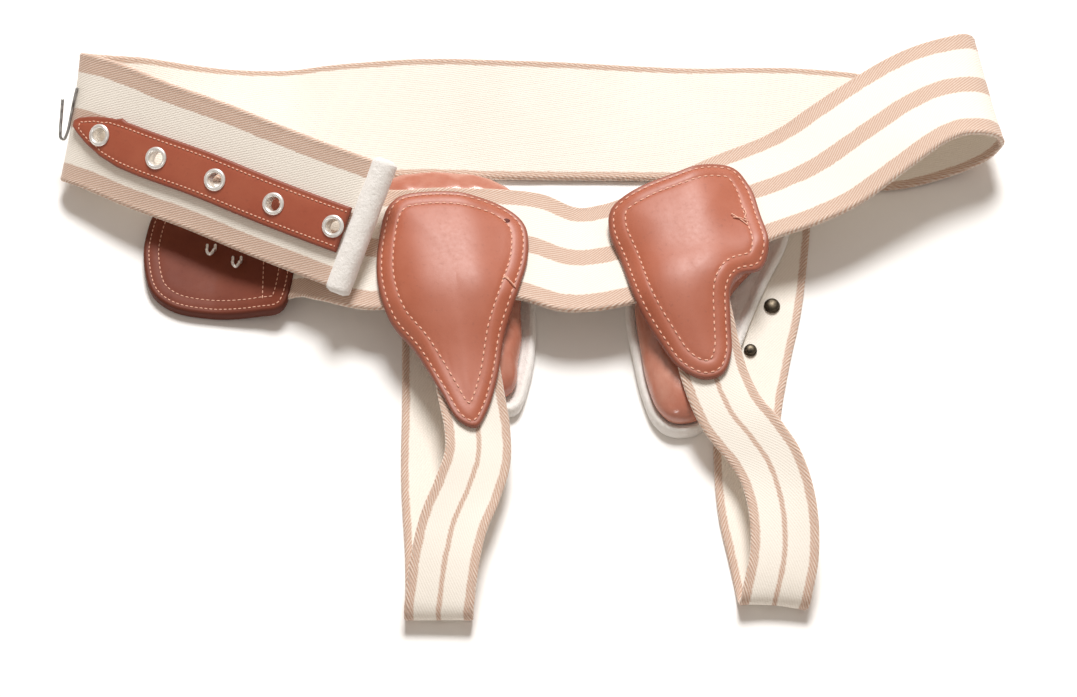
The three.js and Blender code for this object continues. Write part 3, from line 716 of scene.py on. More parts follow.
@dataclass(frozen=True)
class CottonWebbing:
    """Cotton twill webbing: fine slanting ribs, tan warp stripes and a corded selvedge."""

    name: str
    width: float
    stripes: tuple[Stripe, ...]
    ground: str = "#F8F3EA"
    tan: str = "#C19C86"
    shade: str = "#E8DED0"
    rib: float = 1.15
    slant: float = 58.0
    selvedge: float = 2.6
    twist: float = 2.6
    soft_edge: float = 0.35

    def make(self) -> bpy.types.Material:
        """Build the material. Woven cotton is matt, with a soft sheen from loose fibres."""
        recipe = Recipe(self.name)
        uv = recipe.read(recipe.add("ShaderNodeUVMap", uv_map="weave"))
        split = recipe.add("ShaderNodeSeparateXYZ", {0: uv})
        run, side = recipe.read(split, 0), recipe.read(split, 1)
        grain = recipe.noise(0.8, 2.0)
        fray = (grain - 0.5) * 1.2
        wander = (recipe.noise(7, 2.0) - 0.5) * 1.1
        mask = self.dyed_warp(recipe, side + wander + fray)
        angle = math.radians(self.slant)
        slanted = run * math.cos(angle) + side * math.sin(angle) + fray * 0.35
        twill = self.wave(slanted, self.rib)
        cross = self.wave(side, self.rib * 0.55)
        weave = twill * 0.22 + (cross * 0.12 + 0.56)
        edge = recipe.ramp(side.math("ABSOLUTE"), self.width / 2 - self.selvedge,
                           self.width / 2 - self.selvedge + 0.6)
        cord = edge * (self.wave(run + side * 1.3, self.twist) * 0.3)
        dyed = mask.math("MULTIPLY", weave * 1.25 + 0.05, clamp=True)
        dyed = dyed.math("SUBTRACT", cord * mask * 0.5, clamp=True)
        cream = recipe.mix(weave * 0.7 + recipe.noise(26, 3.0) * 0.3, self.shade, self.ground)
        recipe.shade({
            "Base Color": recipe.mix(dyed, cream, self.tan), "Roughness": 0.92,
            "Sheen Weight": 0.18, "Sheen Roughness": 0.5, "Specular IOR Level": 0.25})
        recipe.bump(weave * 0.6 + (grain * 0.5 + cord), 0.8, 0.35)
        return recipe.material

    def dyed_warp(self, recipe: Recipe, side: Level) -> Level:
        """Give 1 on the tan stripes and 0 between them, by the place across the webbing."""
        mask: Level | None = None
        for stripe in self.stripes:
            gap = (side - stripe.centre).math("ABSOLUTE")
            inside = recipe.ramp(gap, stripe.half + self.soft_edge, stripe.half - self.soft_edge)
            mask = inside if mask is None else mask.math("MAXIMUM", inside)
        return mask

    @staticmethod
    def wave(place: Level, length: float) -> Level:
        """Give a wave of a length in millimetres along a place."""
        return (place * (2 * math.pi / length)).math("SINE")


@dataclass(frozen=True)
class TannedLeather:
    """Vegetable-tanned leather: pores, soft mottling, a polished face and darker edges."""

    name: str
    face: str
    deep: str
    pale: str
    rough: float = 0.42
    gloss: float = 0.5
    pore: float = 1.1
    wear: float = 0.5

    def make(self) -> bpy.types.Material:
        """Build the material. The rim attribute darkens the burnished edge of a piece."""
        recipe = Recipe(self.name)
        fine = recipe.noise(2.4, 4.0, 0.65)
        mottle = recipe.ramp(recipe.noise(22, 5.0, 0.6), 0.3, 0.7)
        rim = recipe.read(recipe.add("ShaderNodeAttribute", attribute_name="rim"), "Fac")
        burnish = (rim * -1.0).math("ADD", 1.0, clamp=True) * 0.6
        specks = recipe.ramp(fine, 0.58, 0.75, 0.0, self.wear) * 0.5
        face = recipe.mix(mottle, self.face, self.pale)
        pores = recipe.read(recipe.add("ShaderNodeTexVoronoi", {
            "Vector": recipe.place, "Scale": per_mm(self.pore)}, feature="DISTANCE_TO_EDGE"),
            "Distance")
        recipe.shade({
            "Base Color": recipe.mix(burnish.math("MAXIMUM", specks), face, self.deep),
            "Roughness": recipe.ramp(fine, 0.3, 0.7, self.rough - 0.02, self.rough + 0.04),
            "IOR": 1.5, "Specular IOR Level": self.gloss})
        recipe.bump(recipe.ramp(pores, 0.0, 0.12) * 0.35 + fine * 0.8, 0.09, 0.25)
        return recipe.material


@dataclass(frozen=True)
class WoolFelt:
    """Pressed wool felt: off-white, matt and fuzzy."""

    name: str
    face: str = "#FDFBF8"
    shade: str = "#E6E0D8"

    def make(self) -> bpy.types.Material:
        """Build the material. Tangled fibres give soft lumps and a pale fuzz at grazing light."""
        recipe = Recipe(self.name)
        tangle = recipe.noise(1.3, 5.0, 0.7) * 0.6
        felted = tangle.math("ADD", recipe.noise(6, 2.0) * 0.5, clamp=True)
        recipe.shade({
            "Base Color": recipe.mix(felted, self.shade, self.face), "Roughness": 1.0,
            "Sheen Weight": 0.5, "Sheen Roughness": 0.6, "Specular IOR Level": 0.15})
        recipe.bump(felted, 0.9, 1.0)
        return recipe.material


@dataclass(frozen=True)
class PlatedMetal:
    """Stamped and plated small metal: fine scratches and a little tarnish."""

    name: str
    bright: str
    dull: str
    rough: float
    metallic: float = 1.0

    def make(self) -> bpy.types.Material:
        """Build the material. Handling leaves fine scuffs that dull the plating in spots."""
        recipe = Recipe(self.name)
        stain = recipe.noise(3, 4.0)
        recipe.shade({
            "Base Color": recipe.mix(recipe.ramp(stain, 0.45, 0.7), self.bright, self.dull),
            "Roughness": recipe.ramp(stain, 0.3, 0.7, self.rough, self.rough + 0.2),
            "Metallic": self.metallic})
        return recipe.material


@dataclass(frozen=True)
class SewingThread:
    """Waxed linen thread: pale, slightly glossy, with a twist."""

    name: str
    face: str
    shade: str

    def make(self) -> bpy.types.Material:
        """Build the material. The twist shows as small light and dark turns."""
        recipe = Recipe(self.name)
        recipe.shade({"Base Color": recipe.mix(recipe.noise(0.7, 2.0), self.shade, self.face),
                      "Roughness": 0.7})
        return recipe.material


class Finish(Enum):
    """The finishes of the belt, by the real material; the torn leather also carries painted shade
    of its hole.
    """

    WAIST_FACE = "waist_face"
    WAIST_BACK = "waist_back"
    STRAP_FACE = "strap_face"
    STRAP_BACK = "strap_back"
    SHIELD_LEATHER = "shield_leather"
    PAD_LEATHER = "pad_leather"
    STRIP_LEATHER = "strip_leather"
    PATCH_LEATHER = "patch_leather"
    FELT = "felt"
    NICKEL = "nickel"
    STEEL = "steel"
    BRONZE = "bronze"
    THREAD = "thread"
    TORN_HOLE_SHADE = "torn"


class Finishes:
    """Makes each finish once."""

    def __init__(self) -> None:
        """Build all the materials."""
        wide, narrow = BAND_W / 2, STRAP_W / 2
        recipes = {
            Finish.WAIST_FACE: CottonWebbing("cotton_twill_striped", BAND_W, (
                Stripe(-(wide - 4.75), 4.9), Stripe(0, 4.9), Stripe(wide - 4.75, 4.9))),
            Finish.WAIST_BACK: CottonWebbing("cotton_twill_reverse", BAND_W, (
                Stripe(-(wide - 1.8), 2.3), Stripe(wide - 1.5, 2.2)), slant=82.0),
            Finish.STRAP_FACE: CottonWebbing("cotton_tape_striped", STRAP_W, (
                Stripe(-(narrow - 2.2), 2.2), Stripe(0, 1.15), Stripe(narrow - 2.2, 2.2))),
            Finish.STRAP_BACK: CottonWebbing("cotton_tape_reverse", STRAP_W, (
                Stripe(-(narrow - 1.7), 2.0), Stripe(narrow - 1.7, 2.0))),
            Finish.SHIELD_LEATHER: TannedLeather(
                "tanned_shield_leather", "#A65434", "#642A1A", "#B06246", rough=0.5, gloss=0.82),
            Finish.PAD_LEATHER: TannedLeather(
                "glazed_pad_leather", "#B0644C", "#5E2A1E", "#C88E7A",
                rough=0.2, gloss=1.0, wear=0.1),
            Finish.STRIP_LEATHER: TannedLeather(
                "tanned_strap_leather", "#A14C33", "#5A2414", "#AC5B40", rough=0.48, gloss=0.5),
            Finish.PATCH_LEATHER: TannedLeather(
                "tanned_patch_leather", "#6C2F1C", "#421B11", "#763822", rough=0.55, gloss=0.25),
            Finish.FELT: WoolFelt("pressed_wool_felt"),
            Finish.NICKEL: PlatedMetal(
                "nickel_plated_brass", "#F8F6F2", "#DAD6D0", 0.24, metallic=0.65),
            Finish.STEEL: PlatedMetal("bent_steel_wire", "#A9A9A8", "#6B6864", 0.28),
            Finish.BRONZE: PlatedMetal("tarnished_brass", "#5C5346", "#2B2723", 0.4),
            Finish.THREAD: SewingThread("waxed_linen_thread", "#F4C6AE", "#DAA188"),
            # Torn leather for the seam tear. The tear has no rim attribute, so it is darkened all
            # over toward the deep colour: painted shade of the hole.
            Finish.TORN_HOLE_SHADE: TannedLeather("torn_leather_and_painted_hole_shade", "#7A2C1E", "#3A120A", "#8A3A2A",
                                       rough=0.7),
        }
        self.made = {key: recipe.make() for key, recipe in recipes.items()}

    def get(self, finish: Finish) -> bpy.types.Material:
        """Give the material of a finish."""
        return self.made[finish]


def link_mesh(name: str, bm: bmesh.types.BMesh) -> bpy.types.Object:
    """Put a bmesh into the scene as an object, and free it."""
    mesh = bpy.data.meshes.new(name)
    bm.to_mesh(mesh)
    bm.free()
    made = bpy.data.objects.new(name, mesh)
    bpy.context.scene.collection.objects.link(made)
    return made


def to_frame(bm: bmesh.types.BMesh) -> None:
    """Move a mesh from the photo's plan in millimetres to the shared frame in metres."""
    bmesh.ops.translate(bm, verts=bm.verts[:], vec=ORIGIN_SHIFT)
    bmesh.ops.scale(bm, verts=bm.verts[:], vec=Vector((MM, MM, MM)))


def finish_piece(name: str, bm: bmesh.types.BMesh, materials: Sequence[bpy.types.Material],
                 nodes: Sequence[str] = ()) -> bpy.types.Object:
    """Turn a millimetre bmesh into a piece of the belt.

    Args:
        name: The piece's name.
        bm: Its mesh, in the plan of the photo, in millimetres.
        materials: Materials by face material index.
        nodes: Solids of the frame that the piece stands for.

    Returns:
        The new object.
    """
    to_frame(bm)
    for face in bm.faces:
        face.smooth = True
    piece = link_mesh(name, bm)
    for material in materials:
        piece.data.materials.append(material)
    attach(piece, "root")
    if nodes:
        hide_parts(*nodes)
    log.info("%s: %d faces", name, len(piece.data.polygons))
    return piece


def placed(centre: Vector, axes: tuple[Vector, Vector, Vector]) -> Matrix:
    """Give the matrix that puts a form's origin at a centre and its axes along three others."""
    return Matrix.Translation(centre) @ Matrix(axes).transposed().to_4x4()


def turned(profile: Sequence[tuple[float, float]], closed: bool, steps: int,
           centre: Vector, axes: tuple[Vector, Vector, Vector]) -> bmesh.types.BMesh:
    """Turn a profile round its axis, as on a lathe, and set it in place.

    Args:
        profile: Radius and height of each corner in millimetres.
        closed: Whether the profile runs back to its first corner.
        steps: Faces round the axis.
        centre: Where the axis meets height zero.
        axes: Directions of x, y and the axis.

    Returns:
        The mesh in millimetres.
    """
    bm = bmesh.new()
    verts = [bm.verts.new((radius, 0, z)) for radius, z in profile]
    ends = verts[1:] + (verts[:1] if closed else [])
    edges = [bm.edges.new((a, b)) for a, b in zip(verts, ends)]
    bmesh.ops.spin(bm, geom=verts + edges, cent=(0, 0, 0), axis=(0, 0, 1),
                   angle=2 * math.pi, steps=steps, use_merge=True)
    bmesh.ops.remove_doubles(bm, verts=bm.verts[:], dist=1e-4)
    bmesh.ops.recalc_face_normals(bm, faces=bm.faces[:])
    bmesh.ops.transform(bm, matrix=placed(centre, axes), verts=bm.verts[:])
    return bm


def grow_loop(bm: bmesh.types.BMesh, loop: Sequence[bmesh.types.BMVert],
              edges: Sequence[bmesh.types.BMEdge]) -> tuple[list, list]:
    """Extrude a closed loop once.

    Args:
        bm: The mesh.
        loop: The loop's vertices in order.
        edges: The loop's edges.

    Returns:
        The new loop's vertices in the same order, and its edges.
    """
    grown = bmesh.ops.extrude_edge_only(bm, edges=edges)["geom"]
    new = {g for g in grown if isinstance(g, bmesh.types.BMVert)}
    new_loop = [next(e.other_vert(v) for e in v.link_edges if e.other_vert(v) in new)
                for v in loop]
    new_edges = [g for g in grown if isinstance(g, bmesh.types.BMEdge)
                 and all(v in new for v in g.verts)]
    return new_loop, new_edges


def second_side(bm: bmesh.types.BMesh) -> tuple[set[bmesh.types.BMVert], list[bmesh.types.BMFace]]:
    """Copy a grid for the other side of a sheet, turned over.

    Args:
        bm: The mesh that holds the grid.

    Returns:
        The copy's vertices and faces.
    """
    made = bmesh.ops.duplicate(bm, geom=bm.verts[:] + bm.edges[:] + bm.faces[:])["geom"]
    faces = [g for g in made if isinstance(g, bmesh.types.BMFace)]
    bmesh.ops.reverse_faces(bm, faces=faces)
    return {g for g in made if isinstance(g, bmesh.types.BMVert)}, faces


def join_sides(bm: bmesh.types.BMesh) -> None:
    """Close the edge between the two sides of a sheet."""
    bmesh.ops.bridge_loops(bm, edges=[e for e in bm.edges if e.is_boundary])
    bmesh.ops.recalc_face_normals(bm, faces=bm.faces[:])


@dataclass
class Webbing:
    """A strip of webbing with a face side, a back side and rounded corded selvedges."""

    name: str
    ribbon: Ribbon
    face: Finish
    back: Finish
    cell: float = 2.4
    ripple: float = 0.35
    seed: float = 1.0
    across_cells: int = 34

    def half_thickness(self, side: float) -> float:
        """Give half the webbing's thickness at a distance from its middle."""
        half = self.ribbon.width / 2
        level = self.ribbon.thickness / 2
        inward = half - abs(side)
        cord = 0.22 * hump(inward, 1.3, 0.9)
        if inward < SELVEDGE_ROUND:
            level *= math.sqrt(1 - (1 - inward / SELVEDGE_ROUND) ** 2 * 0.94)
        return level + cord * min(inward / 0.8, 1.0)

    def lift(self, run: float, side: float) -> float:
        """Give the soft unevenness of the cloth at a place."""
        half = self.ribbon.width / 2
        slack = 0.6 + 0.9 * (abs(side) / half) ** 2
        wide = wobble(run, side * 0.5, self.seed, 38.0)
        fine = wobble(run, side, self.seed + 7, 15.0)
        return self.ripple * slack * (wide + 0.45 * fine)

    def mesh(self) -> bmesh.types.BMesh:
        """Build the closed webbing mesh with its weave map.

        Returns:
            The mesh in millimetres.
        """
        length, half = self.ribbon.length, self.ribbon.width / 2
        bm = bmesh.new()
        run_layer = bm.verts.layers.float.new("run")
        side_layer = bm.verts.layers.float.new("side")
        bmesh.ops.create_grid(
            bm, x_segments=round(length / self.cell), y_segments=self.across_cells, size=1.0)
        for v in bm.verts:
            v[run_layer] = (v.co.x + 1) / 2 * length
            v[side_layer] = half * math.sin(v.co.y * 1.5) / math.sin(1.5)
        back_verts, back_faces = second_side(bm)
        for v in bm.verts:
            run, side = v[run_layer], v[side_layer]
            way = -1 if v in back_verts else 1
            offset = way * self.half_thickness(side) + self.lift(run, side)
            v.co = self.ribbon.point(run, side, offset)
            v.co.z = max(v.co.z, 0.0)
        for face in back_faces:
            face.material_index = 1
        join_sides(bm)
        uv = bm.loops.layers.uv.new("weave")
        for face in bm.faces:
            for loop in face.loops:
                loop[uv].uv = (loop.vert[run_layer], loop.vert[side_layer])
        return bm

    def build(self, finishes: Finishes) -> bpy.types.Object:
        """Build and dress the webbing."""
        return finish_piece(self.name, self.mesh(), (
            finishes.get(self.face), finishes.get(self.back)), (self.name,))


def punch(piece: bpy.types.Object, frames: Sequence[Frame], radius: float) -> None:
    """Cut round holes through a piece.

    Args:
        piece: The piece to cut.
        frames: Middle and directions of each hole, in millimetres of the photo's plan.
        radius: Hole radius in millimetres.
    """
    bm = bmesh.new()
    for frame in frames:
        place = placed(frame.centre, (frame.across, frame.tangent, frame.outward))
        bmesh.ops.create_cone(bm, cap_ends=True, segments=48, radius1=radius, radius2=radius,
                              depth=PUNCH_DEPTH, matrix=place)
    to_frame(bm)
    tool = link_mesh("punch", bm)
    cut = piece.modifiers.new("holes", "BOOLEAN")
    cut.object = tool
    cut.operation = "DIFFERENCE"
    cut.solver = "EXACT"
    bpy.context.view_layer.update()
    evaluated = piece.evaluated_get(bpy.context.evaluated_depsgraph_get())
    result = bpy.data.meshes.new_from_object(evaluated)
    piece.modifiers.clear()
    piece.data = result
    bpy.data.objects.remove(tool)


def ring_shell(rim: Sequence[Vector], centre: Vector,
               rings: Sequence[tuple[float, float, Callable[[float, float], float]]],
               rim_gap: Callable[[Vector], float] | None = None) -> bmesh.types.BMesh:
    """Build a closed shell over a star-shaped outline, ring by ring.

    Args:
        rim: Plan points of the outline.
        centre: Plan middle.
        rings: From the underside's middle out and back to the top's middle, each ring's
            share of the way to the rim, its inset in millimetres and its height function.
        rim_gap: Distance from a plan point to the rim, written to the rim attribute.

    Returns:
        The shell in millimetres.
    """
    bm = bmesh.new()
    layer = bm.verts.layers.float.new("rim")
    first = list(bmesh.ops.create_circle(bm, segments=len(rim), radius=1.0)["verts"])
    loop, edges = first, bm.edges[:]
    for number, (share, inset, height) in enumerate(rings):
        if number:
            loop, edges = grow_loop(bm, loop, edges)
        for v, p in zip(loop, rim):
            reach = (p - centre).length
            q = centre.lerp(p, share * max(reach - inset, 0.0) / reach)
            v.co = Vector((q.x, q.y, height(q.x, q.y)))
            v[layer] = min(rim_gap(q) / BURNISHED, 1.0) if rim_gap else 1.0
    for ring in (first, loop):
        for v in bmesh.ops.poke(bm, faces=[bm.faces.new(ring)])["verts"]:
            v[layer] = 1.0
    bmesh.ops.recalc_face_normals(bm, faces=bm.faces[:])
    return bm


@dataclass(frozen=True)
class Seam:
    """One kind of stitching: distance from stitch to stitch, stitch length and thread."""

    pitch: float
    length: float
    thread: float


SHIELD_SEAM = Seam(3.4, 2.35, 0.78)
STRIP_SEAM = Seam(2.3, 1.7, 0.66)
PATCH_RIM_SEAM = Seam(2.4, 1.75, 0.55)
PATCH_INNER_SEAM = Seam(2.6, 2.0, 0.5)


class Stitcher:
    """Lays small thread stitches over surfaces, all in one mesh."""

    SUBSTEPS = 12

    def __init__(self) -> None:
        """Start with no stitches."""
        self.bm = bmesh.new()
        self.count = 0

    def stitch(self, start: Vector, end: Vector, up: Vector, thick: float) -> None:
        """Lay one stitch between two points, slightly sunk into the surface.

        Args:
            start: First end in millimetres.
            end: Second end.
            up: Direction away from the surface.
            thick: Thread thickness.
        """
        along = end - start
        length = along.length
        if length < 0.3:
            return
        x = along / length
        y = up.cross(x).normalized()
        z = x.cross(y)
        middle = (start + end) / 2 + z * (0.22 * thick)
        size = Matrix.Diagonal((length / 2, thick * 0.52, thick * 0.42, 1.0))
        place = placed(middle, (x, y, z)) @ size
        bmesh.ops.create_uvsphere(self.bm, u_segments=7, v_segments=5, radius=1.0, matrix=place)
        self.count += 1

    def line(self, points: Sequence[Vector], closed: bool, seam: Seam,
             land: Callable[[Vector], tuple[Vector, Vector] | None], seed: float) -> None:
        """Lay a row of stitches along a line.

        Args:
            points: The line, in the plan or in space.
            closed: Whether the line runs back to its start.
            seam: Kind of stitching.
            land: Gives a surface point and its direction for a point of the line.
            seed: Number for the small unevenness.
        """
        total = sum((b - a).length for a, b in zip(points, points[1:]))
        if closed:
            total += (points[0] - points[-1]).length
        count = max(2, round(total / seam.pitch))
        fine = even_steps(points, count * self.SUBSTEPS + (0 if closed else 1), closed)
        reach = max(1, round(self.SUBSTEPS * seam.length / seam.pitch))
        for i in range(count):
            a = i * self.SUBSTEPS
            b = a + reach
            if not closed and b >= len(fine):
                break
            shift = 0.12 * wobble(i * 3.0, 0, seed, 2.0)
            first, last = land(fine[a % len(fine)]), land(fine[b % len(fine)])
            if first is None or last is None:
                continue
            sideways = (last[0] - first[0]).cross(first[1]).normalized() * shift
            self.stitch(first[0] + sideways, last[0] - sideways, first[1], seam.thread)

    def build(self, name: str, finishes: Finishes, slot: str) -> None:
        """Build the stitches as one piece."""
        log.info("%s: %d stitches", name, self.count)
        finish_piece(name, self.bm, (finishes.get(Finish.THREAD),))


def drop_on(tree: BVHTree) -> Callable[[Vector], tuple[Vector, Vector] | None]:
    """Give a function that drops a plan point onto a surface from above."""
    def land(p: Vector) -> tuple[Vector, Vector] | None:
        """Give the surface point and direction under a plan point."""
        hit, normal, _, _ = tree.ray_cast(Vector((p.x, p.y, 200.0)), Vector((0, 0, -1)))
        return None if hit is None else (hit, normal)
    return land


@dataclass
class Shield:
    """A stitched leather shield draped over the webbing and a thigh strap."""

    SPOT = 2.0
    SLOPE = 0.35

    name: str
    outline: Outline
    waist: Ribbon
    strap: Ribbon
    stitcher: Stitcher
    seed: float
    rows: tuple[float, float] = SHIELD_SEAMS
    tree: BVHTree | None = None
    beds: list[tuple[float, float, float]] = field(default_factory=list)

    def __post_init__(self) -> None:
        """Measure what the shield lies on, at even spots of its plan."""
        xs = [p.x for p in self.outline.points]
        ys = [p.y for p in self.outline.points]
        for i in range(int((max(xs) - min(xs)) / self.SPOT) + 5):
            for k in range(int((max(ys) - min(ys)) / self.SPOT) + 5):
                x, y = min(xs) + (i - 2) * self.SPOT, min(ys) + (k - 2) * self.SPOT
                self.beds.append((x, y, max(
                    self.waist.top_at(x, y, FRONT_FIRST_ROW, FRONT_LAST_ROW, self.SLOPE),
                    self.strap.top_at(x, y, 0, STRAP_FRONT_ROWS, self.SLOPE))))

    def support(self, x: float, y: float) -> float:
        """Give the height of what the shield lies on, evened out more away from its rim."""
        soft = min(1.7 + 0.35 * self.outline.gap_to_rim(Vector((x, y, 0))), 5.5)
        reach, fall = (3 * soft) ** 2, -0.5 / soft ** 2
        total = weight = 0.0
        for px, py, height in self.beds:
            gap = (px - x) ** 2 + (py - y) ** 2
            if gap < reach:
                w = math.exp(gap * fall)
                total += w * height
                weight += w
        return total / weight

    def share_at(self, p: Vector) -> float:
        """Give how far a plan point lies from the middle toward the rim, from 0 to 1."""
        gap = self.outline.gap_to_rim(p)
        reach = (p - self.outline.centre).length
        return reach / (reach + gap) if reach + gap > 0 else 0.0

    def under(self, x: float, y: float) -> float:
        """Give the height of the shield's underside."""
        p = Vector((x, y, 0))
        dome = SHIELD_RISE * (1 - self.share_at(p) ** 2.5)
        dents = 0.25 * wobble(x, y, self.seed, 26.0) + 0.1 * wobble(x, y, self.seed + 3, 9.0)
        gap = self.outline.gap_to_rim(p)
        press = sum(0.32 * hump(gap, row, 0.8) for row in self.rows)
        puff = 0.25 * hump(gap, sum(self.rows) / 2, 1.9)
        return self.support(x, y) + 2 * CLEAR + dome + dents * min(gap / 6, 1) - press + puff

    def build(self, finishes: Finishes) -> None:
        """Build and dress the shield and lay its two rows of stitches."""
        heights: dict[tuple[int, int], float] = {}

        def low(x: float, y: float) -> float:
            """Give the underside's height, remembered by place."""
            key = (round(x * 50), round(y * 50))
            if key not in heights:
                heights[key] = self.under(x, y)
            return heights[key]

        def level(share: float) -> Callable[[float, float], float]:
            """Give a height function between underside and face."""
            return lambda x, y: low(x, y) + share * SHIELD_T

        rings = [(0.3, 0.0, level(0)), (0.7, 0.0, level(0)), (1, 2.0, level(0)),
                 (1, 0.5, level(0.04)), (1, 0.1, level(0.22)), (1, 0.0, level(0.45)),
                 (1, 0.12, level(0.72)), (1, 0.45, level(0.9)), (1, 1.0, level(0.98))]
        rings += [(1, inset, level(1)) for inset in (
            1.7, 2.2, 2.6, 3.0, 3.5, 4.3, 5.2, 6.2, 7.2, 7.8, 8.2, 8.6, 9.3, 10.5, 12.5, 15)]
        rings += [(share, 15.0, level(1)) for share in (0.88, 0.74, 0.6, 0.46, 0.32, 0.18, 0.07)]
        bm = ring_shell(self.outline.points, self.outline.centre, rings, self.outline.gap_to_rim)
        self.tree = BVHTree.FromBMesh(bm)
        land = drop_on(self.tree)
        for number, row in enumerate(self.rows):
            self.stitcher.line(self.outline.inset(row), True, SHIELD_SEAM, land,
                               self.seed + number)
        finish_piece(self.name, bm, (finishes.get(Finish.SHIELD_LEATHER),),
                     (self.name,))


@dataclass
class Pelote:
    """A pelote: a felt base flattened on the table and a domed leather pad on it."""

    side: str
    rows: Sequence[tuple[float, float, float]]
    middle: tuple[float, float]
    seed: float
    ceiling: BVHTree
    strap_floor: Ribbon
    strap_rows: tuple[int, int]
    outline: Outline = field(init=False)

    def __post_init__(self) -> None:
        """Smooth the outline."""
        self.outline = Outline(self.rows, self.middle, 120)

    def inset_rim(self) -> list[Vector]:
        """Give the leather's outline, moved in from the felt's by the rim of each row."""
        points = []
        for p in self.outline.points:
            total = weight = 0.0
            for x, y, rim in self.rows:
                w = 1 / (math.hypot(x * SPAN - p.x, y * SPAN - p.y) + 2) ** 3
                total += w * rim
                weight += w
            reach = (p - self.outline.centre).length
            points.append(self.outline.centre.lerp(p, (reach - total / weight * RIM) / reach))
        return points

    def capped(self, x: float, y: float, z: float) -> float:
        """Keep a height under the webbing and straps above it."""
        hit = self.ceiling.ray_cast(Vector((x, y, 2.9)), Vector((0, 0, 1)))[0]
        if hit is None:
            return z
        limit = hit.z - 0.7
        if z < limit - 1.5:
            return z
        return limit - 0.5 + 0.5 * math.tanh(z - limit)

    def over_strap(self, x: float, y: float) -> float:
        """Give the underside's height: the table, or the thigh strap lying under it."""
        first, last = (r * Ribbon.STEPS for r in self.strap_rows)
        frames = self.strap_floor.frames[first:last]
        nearest = min(frames, key=lambda f: (f.centre.x - x) ** 2 + (f.centre.y - y) ** 2)
        side = abs((x - nearest.centre.x) * nearest.across.x
                   + (y - nearest.centre.y) * nearest.across.y)
        ahead = abs((x - nearest.centre.x) * nearest.tangent.x
                    + (y - nearest.centre.y) * nearest.tangent.y)
        top = 2 * LYING_Z * PAD_H + 0.45
        fall = max(side - STRAP_W / 2 - 0.6, ahead - 1.0, 0.0)
        return max(0.0, top - 2.0 * fall)

    def felt_top(self, x: float, y: float) -> float:
        """Give the felt's face: a soft rolled rim round a slightly lower middle."""
        gap = self.outline.gap_to_rim(Vector((x, y, 0)))
        roll = 1.5 * hump(gap, 2.4, 2.0)
        dip = 1.0 * min(max((gap - 4) / 4, 0.0), 1.0)
        return max(FELT_T + roll - dip, self.over_strap(x, y) + 2.6)

    def build(self, finishes: Finishes) -> None:
        """Build the felt base and the leather pad."""
        centre = self.outline.centre

        def felt(level: float) -> Callable[[float, float], float]:
            """Give the felt's height between its underside and its face."""
            def height(x: float, y: float) -> float:
                """Give the height at a plan point."""
                low = self.over_strap(x, y)
                high = self.felt_top(x, y) + 0.3 * wobble(x, y, self.seed, 11.0) * level
                return low + (high - low) * level
            return height

        rings = [(0.4, 0.0, felt(0)), (0.8, 0.0, felt(0)), (1, 2.5, felt(0)), (1, 1.0, felt(0.03)),
                 (1, 0.25, felt(0.2)), (1, 0.0, felt(0.5)), (1, 0.3, felt(0.8)),
                 (1, 1.1, felt(0.96)), (1, 1.8, felt(1)), (1, 2.4, felt(1)), (1, 3.2, felt(1)),
                 (1, 4.2, felt(1)), (1, 5.4, felt(1)), (1, 6.8, felt(1)), (1, 8.5, felt(1)),
                 (1, 11, felt(1)), (1, 14, felt(1)), (0.6, 10.0, felt(1)), (0.3, 10.0, felt(1))]
        base = ring_shell(self.outline.points, centre, rings)
        for v in base.verts:
            if v.co.z > 3.6:
                v.co.z = self.capped(v.co.x, v.co.y, v.co.z)
        finish_piece(f"{self.side}_pad_felt", base, (finishes.get(Finish.FELT),),
                     (f"{self.side}_pad_felt",))

        rim = self.inset_rim()

        def dome(share: float, lift: float) -> Callable[[float, float], float]:
            """Give the pad's height on one ring."""
            def height(x: float, y: float) -> float:
                """Give the height at a plan point."""
                foot = self.felt_top(x, y) + CLEAR
                body = (PAD_H - foot) * lift
                crease = 1.1 * wobble(x, y * 1.6, self.seed + 5, 9.0) * min(1, lift * 2)
                crease -= 0.9 * abs(wobble(x * 1.4, y, self.seed + 8, 6.0)) * min(1, lift * 2)
                return foot + body + crease * (0.4 + 0.6 * share)
            return height

        rings = [(0.4, 0.0, dome(0, 0)), (0.8, 0.0, dome(0, 0)), (1, 2.0, dome(0, 0)),
                 (1, 0.6, dome(0, 0.02)), (1, 0.0, dome(1, 0.12)), (1, -0.15, dome(1, 0.24)),
                 (1, 0.25, dome(1, 0.37)), (1, 1.2, dome(1, 0.5)), (1, 2.6, dome(1, 0.61)),
                 (1, 4.5, dome(1, 0.71)), (1, 7, dome(1, 0.8)), (1, 10, dome(1, 0.87)),
                 (1, 14, dome(1, 0.93)), (0.7, 10, dome(1, 0.97)), (0.5, 10, dome(1, 1)),
                 (0.25, 10, dome(1, 1))]
        pad = ring_shell(rim, centre, rings)
        for v in pad.verts:
            v.co.z = self.capped(v.co.x, v.co.y, v.co.z)
        pad_piece = finish_piece(f"{self.side}_pad_leather", pad, (
            finishes.get(Finish.PAD_LEATHER),), (f"{self.side}_pad_leather",))


